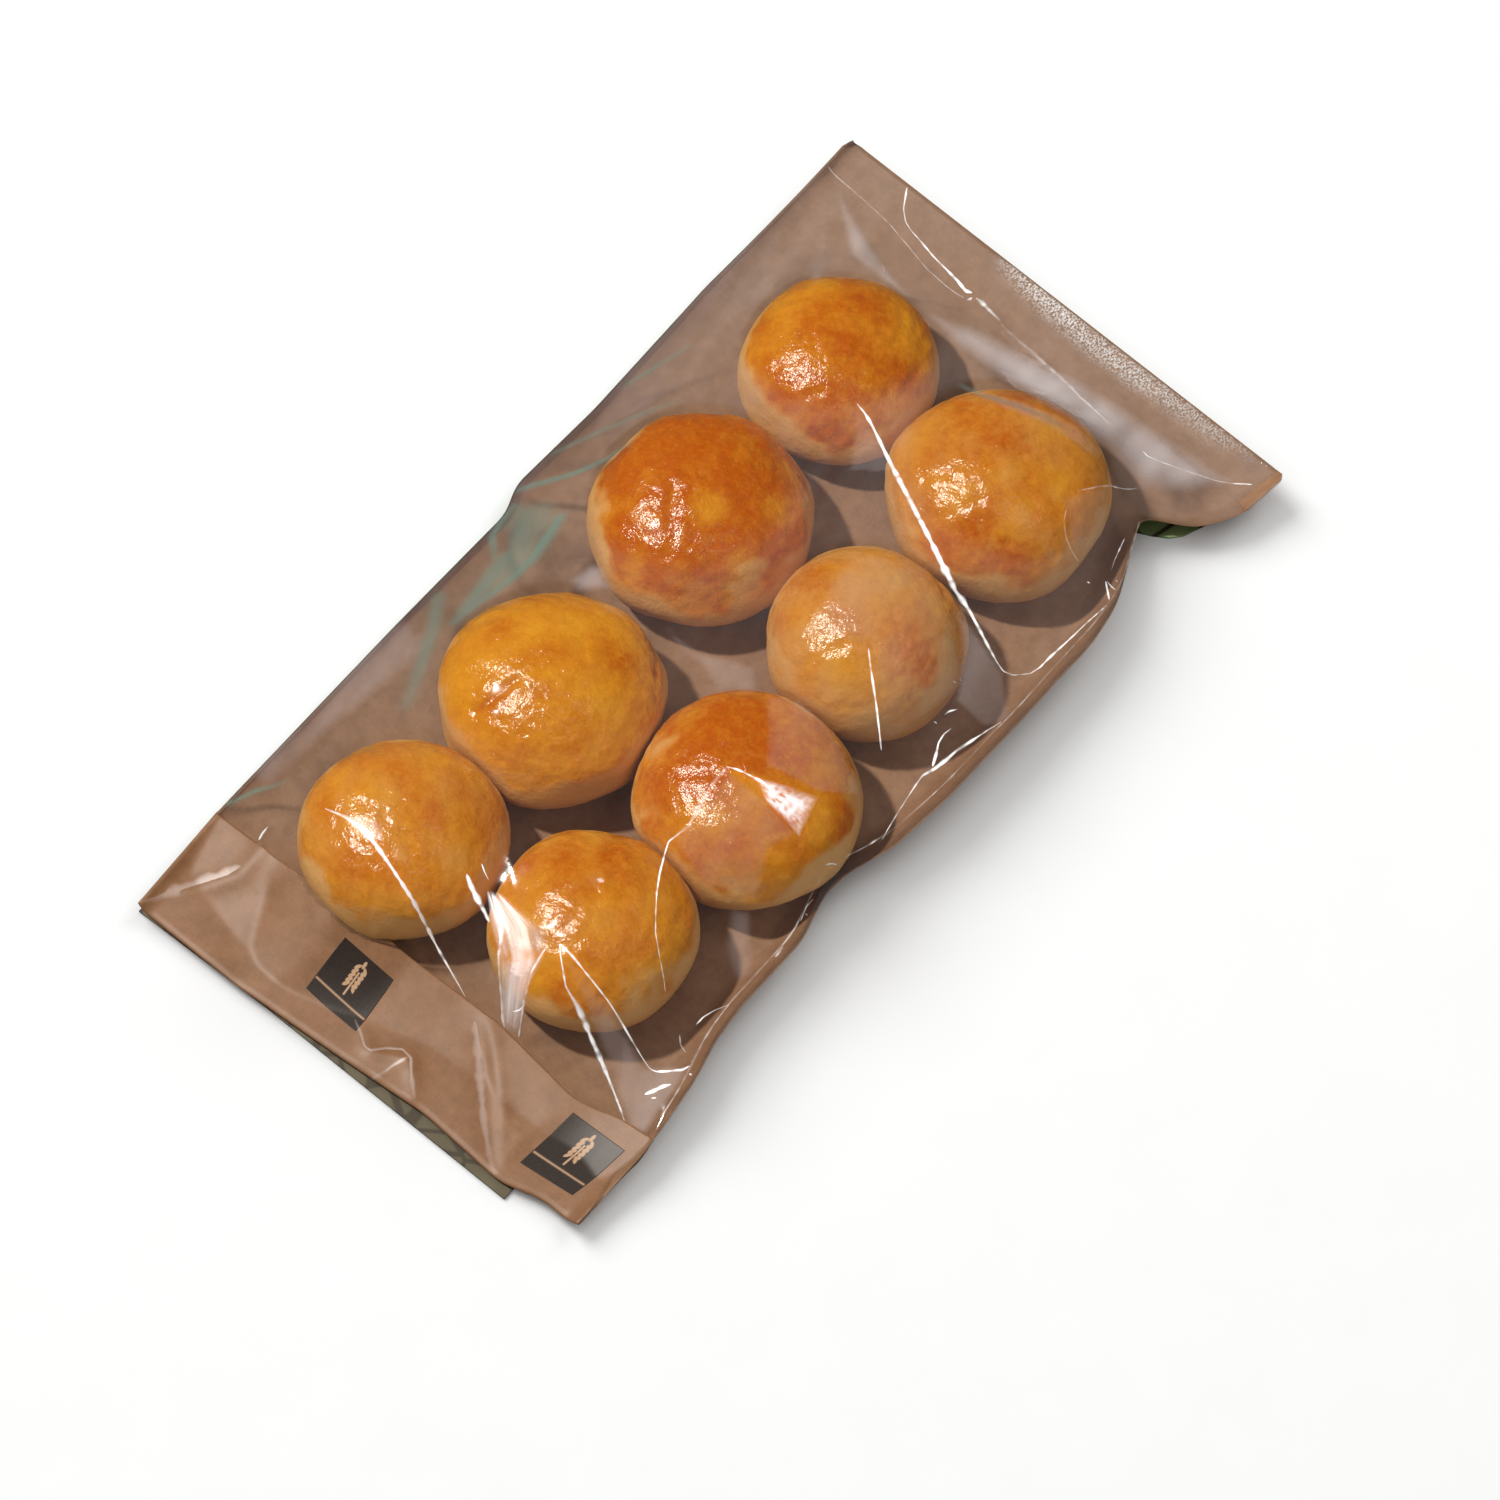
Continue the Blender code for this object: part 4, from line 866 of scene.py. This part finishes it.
# facets that glitter: how crumpled, how far their streaks run across (1 is a plain crumple), and places along their
# two sides with how white each is
flashes = [
    (0.26, 1.0, [(41.5, -30.6, 0.8), (48.4, -34.4, 0.9)], [(58.9, -21.8, 0.62), (62.3, -35.4, 0.95)]),
    (0.55, 0.2, [(2.4, -106.8, 0.7), (9.5, -113.4, 0.42), (18.8, -119.8, 0.32), (27.3, -129.5, 0.4)],
     [(6.3, -105, 0.4), (24.5, -108.0, 0.05), (30.1, -113.2, 0.08), (33.9, -129.5, 0.25)]),
    (0.15, 0.2, [(-46.8, -117.6, 0.1), (-33.5, -118.9, 0.4)], [(-33.2, -112.1, 0.15), (-28.6, -116.4, 0.35)]),
]
# painted sheen on the band's folds: places with their heights, how strongly it is painted there and how wide
paperSheenLines = [
    [(12.8, -127.3, 1, 0.02, 3.5), (21.7, -134.7, 5.1, 0.09, 6), (30.2, -143.3, 3.1, 0.1, 7),
     (41.5, -154.6, 2.9, 0.09, 6), (51.5, -163.1, 3, 0.05, 4), (56.5, -166.2, 2.6, 0.02, 3)],
    [(-82.4, -167.9, 6, 0.02, 6), (-78.7, -159.8, 4.3, 0.09, 9), (-73.1, -150.4, 4.3, 0.12, 10),
     (-68.1, -143.5, 6.1, 0.12, 9), (-66.7, -139.5, 7.1, 0.03, 7)],
    [(-9, -154.3, 3.3, 0.05, 2), (-4.6, -156.6, 3.5, 0.1, 2.8), (-0.5, -159.4, 4, 0.13, 2.8),
     (1.8, -159.4, 4.5, 0.14, 2.8), (4.8, -155.7, 3.8, 0.12, 3), (8.6, -152.9, 3.8, 0.12, 3),
     (12.8, -154, 5.2, 0.15, 3), (16.4, -157.8, 4.5, 0.12, 3.2), (21.7, -162.6, 3.7, 0.04, 3.4)],
    [(11.9, -153.9, 5.1, 0.1, 2.4), (9.9, -158.8, 4.1, 0.1, 2.8), (8.3, -166.7, 6, 0.04, 3)],
]
# the film's seal strip along the far end: places with how strongly its glitter is painted in white flecks
sealLine = [(-22.2, 167.1, 0.35), (-12.4, 165.3, 0.65), (-0.5, 163.9, 0.75), (13.9, 162.1, 0.65), (31.1, 161.4, 0.55),
    (45.6, 161.9, 0.4), (63, 161.6, 0.3), (75.4, 163.1, 0.15)]
# painted green reflections along folds at the film's left: how wide, and places with how strong each is
tealReflectionLines = [
    (1.8, [(-65.4, 5.1, 0.55), (-64.4, -1.9, 0.6), (-62.8, -9.5, 0.6), (-62.6, -19.3, 0.55), (-63.4, -28, 0.5),
        (-66, -42.2, 0.3)]),
    (1, [(-85.7, 9.9, 0.4), (-82.4, 12.9, 0.5), (-73.3, 19.9, 0.55), (-66.1, 27.3, 0.35), (-62.4, 34.7, 0.1)]),
    (0.9, [(-83.6, 4.4, 0.35), (-83, -3, 0.5), (-81.4, -8.1, 0.55), (-73.5, -15.7, 0.3)]),
    (2.2, [(-79.6, -34.7, 0.3), (-71, -47.1, 0.35), (-64, -60.6, 0.3), (-57.7, -74, 0.15)]),
    (0.8, [(-84.0, -126.2, 0.35), (-79.3, -118.3, 0.5), (-72.0, -112.6, 0.15)]),
    (1.0, [(-86.0, 26.0, 0.2), (-81.3, 33.0, 0.3), (-69.5, 47.5, 0.25), (-62.4, 57.9, 0.1)]),
    (0.8, [(-84.5, 58.0, 0.25), (-81.1, 65.7, 0.35), (-76.3, 78.9, 0.15)]),
    (0.8, [(1.4, 113.7, 0.2), (15.1, 116.0, 0.3), (34.2, 121.1, 0.15)]),
]


# how strongly each place lies on a line, soft over its width
def markAlong(x, y, line, wide):
    distance, value = besideLine(x, y, metres(line))
    return value * np.exp(-(distance / (wide * mm)) ** 2)


# how far inside a loop each place lies, from 0 to 1 over a soft border
def markInside(x, y, line, soft):
    loop = metres(line + line[:1])
    inside = np.zeros(x.shape, bool)
    for a, b in zip(loop[:-1], loop[1:]):
        inside ^= ((a[1] > y) != (b[1] > y)) & (x < a[0] + (b[0] - a[0]) * (y - a[1]) / (b[1] - a[1] + 1e-12))
    return smoothStep(besideLine(x, y, loop)[0] / (soft * mm)) * inside


# a skin drawn taut over a grid of lowest heights
def pullTaut(low, fixed):
    taut = low.copy()
    for _ in range(filmForm["rounds"]):
        pulled = low.copy()
        pulled[1:-1, 1:-1] = neighbours(taut) / 4.0
        taut = np.where(fixed, low, np.maximum(low, pulled))
    return taut


def makeFilm():
    rows, columns = filmForm["rows"], filmForm["columns"]
    mesh, across, down = gridMesh("clear_film", columns, rows)
    skirt = filmForm["skirt"]
    shares = np.linspace(0.0, 1.0, columns + 1 - skirt)
    lengths = np.linspace(filmForm["inset"] / pack["length"], 1.0 - filmForm["farInset"] / pack["length"], rows + 1)
    plan = np.zeros((rows + 1, columns + 1 - skirt, 3))
    rim = np.zeros((rows + 1, 3))
    held = lengths * pack["length"] < pack["bandWide"]
    for row, length in enumerate(lengths):
        left, right = filmEdges(length)
        x = left + (right - left) * shares
        y = shapedY(x, length)
        sectionX, sectionZ = paperSection(length, np.linspace(0.0, 1.0, 80))
        under = np.interp(x, sectionX, sectionZ) + paperLift(y)
        station = stationY(length)
        low = np.maximum(under + filmForm["seam"], domeTop(x, y, filmForm["over"]))
        if held[row]:
            share = length * pack["length"] / pack["bandWide"]
            dip = filmForm["underBand"] * smoothStep((1.0 - share) * 3.0)  # it stays under the band's own creases
            low = np.maximum(low, heldHeight(x, y, share) - dip)
        low[0] = under[0] + filmForm["seam"]
        low[-1] = under[-1] + max(filmForm["farHeight"], along(shoulder, station, 2))
        plan[row] = np.column_stack([x, y, low])
        rimX = along(rightRim, station) + along(shoulder, station, 1) - filmForm["rimInset"]
        rim[row] = (max(rimX, x[-1]), y[-1], under[-1] + filmForm["seam"])
    x, y, low = plan[:, :, 0], plan[:, :, 1], plan[:, :, 2]
    onCrust = crustTop(x, y)
    low[1:-1, 1:-1] = np.maximum(low, onCrust + filmForm["over"] * (onCrust > 0.0))[1:-1, 1:-1]
    fixed = held[:, None] | np.zeros(x.shape, bool)
    fixed[:, [0, -1]] = True
    fixed[-8:] = True  # the sealed end lies on the paper
    taut = pullTaut(low, fixed | (y > filmForm["sealStart"]))
    # the creases stand up, and their crests' own points move onto them
    lifted = taut.copy()
    for rise, bend, line in creases:
        if rise == 0.0:
            continue
        distance, _ = besideLine(x, y, metres(line))
        ends = [np.hypot(x - end[0] * mm, y - end[1] * mm) for end in (line[0], line[-1])]
        fade = smoothStep(np.minimum(*ends) / filmForm["ridgeFade"] + 0.25)
        ridge = taut + rise * mm * fade - distance ** 2 / (2.0 * bend * mm)
        near = (distance < filmForm["ridgeReach"]) & ~held[:, None]
        lifted = np.where(near, np.maximum(lifted, ridge), lifted)
    high = lifted > taut + filmForm["ridgeHold"]
    form = pullTaut(np.maximum(low, lifted - filmForm["ridgeSlack"]), fixed | high)
    form = np.where(fixed, low, np.maximum(low, evened(form, filmForm["evening"])))
    spots = np.column_stack([x.ravel(), y.ravel(), np.zeros(x.size)])
    folds = softNoise(spots, filmForm["crinkleSize"], seed=5)
    wrinkles = filmForm["wrinkle"] * softNoise(spots, filmForm["wrinkleSize"], seed=6)
    crinkles = filmForm["crinkle"] * np.exp(-(folds / filmForm["crinkleSharp"]) ** 2) + wrinkles
    form += np.where(fixed, 0.0, crinkles.reshape(x.shape))
    plan[:, :, 2] = form
    # beyond its right shoulder the film turns down to the paper's rim
    turned = np.linspace(0.0, 1.0, skirt + 1)[None, 1:, None]
    flap = plan[:, -1:] * (1.0 - turned) + rim[:, None] * turned
    room = np.minimum(1.0, (plan[:, -1:, 2] - rim[:, None, 2]) / (5.0 * mm))
    flap[:, :, 0] += filmForm["flapBulge"] * np.sin(math.pi * turned[:, :, 0]) * room
    plan = np.concatenate([plan, flap], axis=1)
    roundCorners(plan)
    x, y = plan[:, :, 0], plan[:, :, 1]
    seal = markAlong(x, y, sealLine, filmForm["sealWide"])
    # a painted green reflection at the film's left, along folds and over a facet
    paintedTeal = np.zeros(x.shape)
    for wide, line in tealReflectionLines:
        paintedTeal = np.maximum(paintedTeal, filmForm["tint"] * markAlong(x, y, line, wide))
    drawn = np.column_stack([x.ravel() + 0.2 * y.ravel(), 0.12 * y.ravel(), 0.0 * x.ravel()])
    streaks = softNoise(drawn, filmForm["streakSize"], seed=8).reshape(x.shape)
    for strength, soft, line in tealReflections:
        paintedTeal = np.maximum(paintedTeal, strength * markInside(x, y, line, soft) * np.clip(0.85 + 0.4 * streaks, 0.15, 1.6))
    # a painted sheen: faint where the film lies on a crust, stronger where it spans free, most of all towards its far
    # left, and along its left rim
    gap = smoothStep((plan[:, :, 2] - domeTop(x, y, filmForm["over"]) - filmForm["gapFrom"]) / filmForm["gapRun"])
    farLeft = smoothStep((y - 0.5 * x + 0.09) / 0.22)
    paintedSheen = filmForm["clearSheen"] + gap * (filmForm["freeSheen"] + filmForm["farSheen"] * farLeft)
    paintedSheen += filmForm["rimSheen"] * np.exp(-(x - x[:, :1]) / filmForm["rimRun"])
    for strength, soft, line in paintedReflections:
        paintedSheen = np.maximum(paintedSheen, strength * markInside(x, y, line, soft))
    paintedSheen = np.where(held[:, None], 0.0, paintedSheen * (1.0 + filmForm["streak"] * streaks))
    writePoints(mesh, plan[down, across])
    for name, values in (("seal", seal), ("paintedTeal", paintedTeal), ("paintedSheen", paintedSheen)):
        writeValues(mesh, name, np.clip(values, 0.0, 1.0)[down, across])
    piece = addPiece("clear_film", mesh, [film])
    giveThickness(piece, filmForm["thickness"], 1.0)
    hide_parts("filled_bag")
    return piece


clearFront = makeFilm()
clearFront.visible_diffuse = False  # no stray glows of the key on the crust under it
print("film made")

# painted glints and sheen: a white that scatters light and stays see-through towards its edges
paintedGlintFinish, tree, _ = newFinish("painted_glint_white")
white = addNode(tree, "Attribute", attribute_name="white").outputs["Fac"]
body = addNode(tree, "BsdfDiffuse", {"Color": linear("#f3f7ff")})
sheen = addNode(tree, "BsdfGlossy", {"Roughness": 0.45, "Color": (0.5, 0.5, 0.52, 1.0)})
glintShader = addNode(tree, "AddShader", links={0: body, 1: sheen})
surface = addNode(tree, "MixShader", links={0: white, 1: addNode(tree, "BsdfTransparent"), 2: glintShader})
addNode(tree, "OutputMaterial", links={"Surface": surface})
ribbonForm = dict(
    step=0.5 * mm, columns=6, narrow=0.23 * mm,  # half the width of a line whose wide is 1
    point=1.5 * mm,  # how far its tapered ends reach
    follow=1.2 * mm,  # how far a line's height may be moved to the surface under it
    swell=0.18, swellSize=0.004, breakSize=0.003, patchCells=40,
)


# painted glints: slender strips along creases, pointed at their ends, and crumpled patches
def makePaintedGlints(name, lines, patches, surface, over, broken):
    strips = bmesh.new()
    level = strips.verts.layers.float.new("white")
    for number, line in enumerate(lines):
        spots = np.array(line) * (mm, mm, mm, 1.0, ribbonForm["narrow"])
        run = np.concatenate([[0.0], np.cumsum(np.linalg.norm(np.diff(spots[:, :3], axis=0), axis=1))])
        steps = max(6, int(run[-1] / ribbonForm["step"]))
        at = np.linspace(0.0, run[-1], steps + 1)
        middle = np.column_stack([along(np.column_stack([run, values]), at, 1, 0.5 * mm) for values in spots.T])
        way = np.gradient(middle[:, :2], axis=0)
        side = np.column_stack([-way[:, 1], way[:, 0]]) / np.linalg.norm(way, axis=1)[:, None]
        swell = 1.0 + ribbonForm["swell"] * softNoise(middle[:, :3], ribbonForm["swellSize"], 300 + number)
        taper = np.sqrt(np.minimum(1.0, np.minimum(at, run[-1] - at) / ribbonForm["point"] + 0.02))
        half = middle[:, 4] * np.clip(swell, 0.5, 1.5) * taper
        strength = np.clip(0.85 + broken * softNoise(middle[:, :3], ribbonForm["breakSize"], 360 + number), 0.3, 1.1)
        under = np.array([heightOn(surface, x, y) for x, y in middle[:, :2]])
        middle[:, 2] += np.clip(under - middle[:, 2], -ribbonForm["follow"], ribbonForm["follow"])
        columns = ribbonForm["columns"]
        for vert in bmesh.ops.create_grid(strips, x_segments=columns, y_segments=steps, size=0.5)["verts"]:
            column, row = round((vert.co.x + 0.5) * columns), round((vert.co.y + 0.5) * steps)
            share = column / columns * 2.0 - 1.0
            x, y = middle[row, :2] + side[row] * half[row] * share
            vert.co = (x, y, middle[row, 2] + over)
            vert[level] = float(min(1.0, 1.35 * strength[row] * middle[row, 3] * (1.0 - share * share) ** 1.4))
    cells = ribbonForm["patchCells"]
    for number, (streaks, stretch, left, right) in enumerate(patches):
        for vert in bmesh.ops.create_grid(strips, x_segments=cells, y_segments=cells, size=0.5)["verts"]:
            s, t = vert.co.x + 0.5, vert.co.y + 0.5
            places = [[np.interp(t * (len(side) - 1), range(len(side)), column) for column in zip(*side)]
                      for side in (left, right)]
            x, y, much = ((1.0 - s) * np.array(places[0]) + s * np.array(places[1])) * (mm, mm, 1.0)
            edge = min(1.0, 5.0 * min(s, 1.0 - s), (9.0 if stretch < 1.0 else 3.5) * min(t, 1.0 - t))
            vert.co = (x, y, heightOn(surface, x, y) + over)
            spot = np.array([[s, stretch * t, 0.0]])
            crumple = softNoise(spot, 0.3, 400 + number)[0] + 0.8 * softNoise(spot, 0.11, 450 + number)[0]
            vert[level] = float(np.clip(edge * much * (0.9 + streaks * crumple), 0.0, 1.0))
    mesh = bpy.data.meshes.new(name)
    strips.to_mesh(mesh)
    strips.free()
    piece = addPiece(name, mesh, [paintedGlintFinish])
    piece.visible_shadow = False
    return piece


# a faint uneven painted highlight where the film turns down at its right shoulder
shoulderHighlight = []
for y in np.arange(-0.124, 0.126, 0.005):
    x = along(rightRim, y) + along(shoulder, y, 1) - 1.2 * mm
    z = along(rightRim, y, 2) + along(shoulder, y, 2) + paperLift(y)
    shoulderHighlight.append((x / mm, y / mm, z / mm, 0.13 + 0.07 * math.sin(190.0 * y), 1.5))
dashes = [[(x + way * 0.3 * wide, y + way * 0.1 * wide, z, much, wide) for way in (-1.0, 1.0)]
          for x, y, z, much, wide in glints]
glintLines = [line for _, _, line in creases] + dashes + [shoulderHighlight]
makePaintedGlints("film_painted_glints", glintLines, flashes, surfaceOf(clearFront), over=0.15 * mm, broken=0.28)
overBand = sheet["thickness"] + 0.08 * mm
makePaintedGlints("paper_painted_sheen", paperSheenLines, [], bandSurface, over=overBand, broken=0.0)
print("crease lines made")

for node, finish in (("turned_tail", shadedPrint), ("side_tuck", greenPrint)):
    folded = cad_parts[node]
    lit["bag"].objects.link(folded)
    for slot in folded.material_slots:
        slot.material = finish
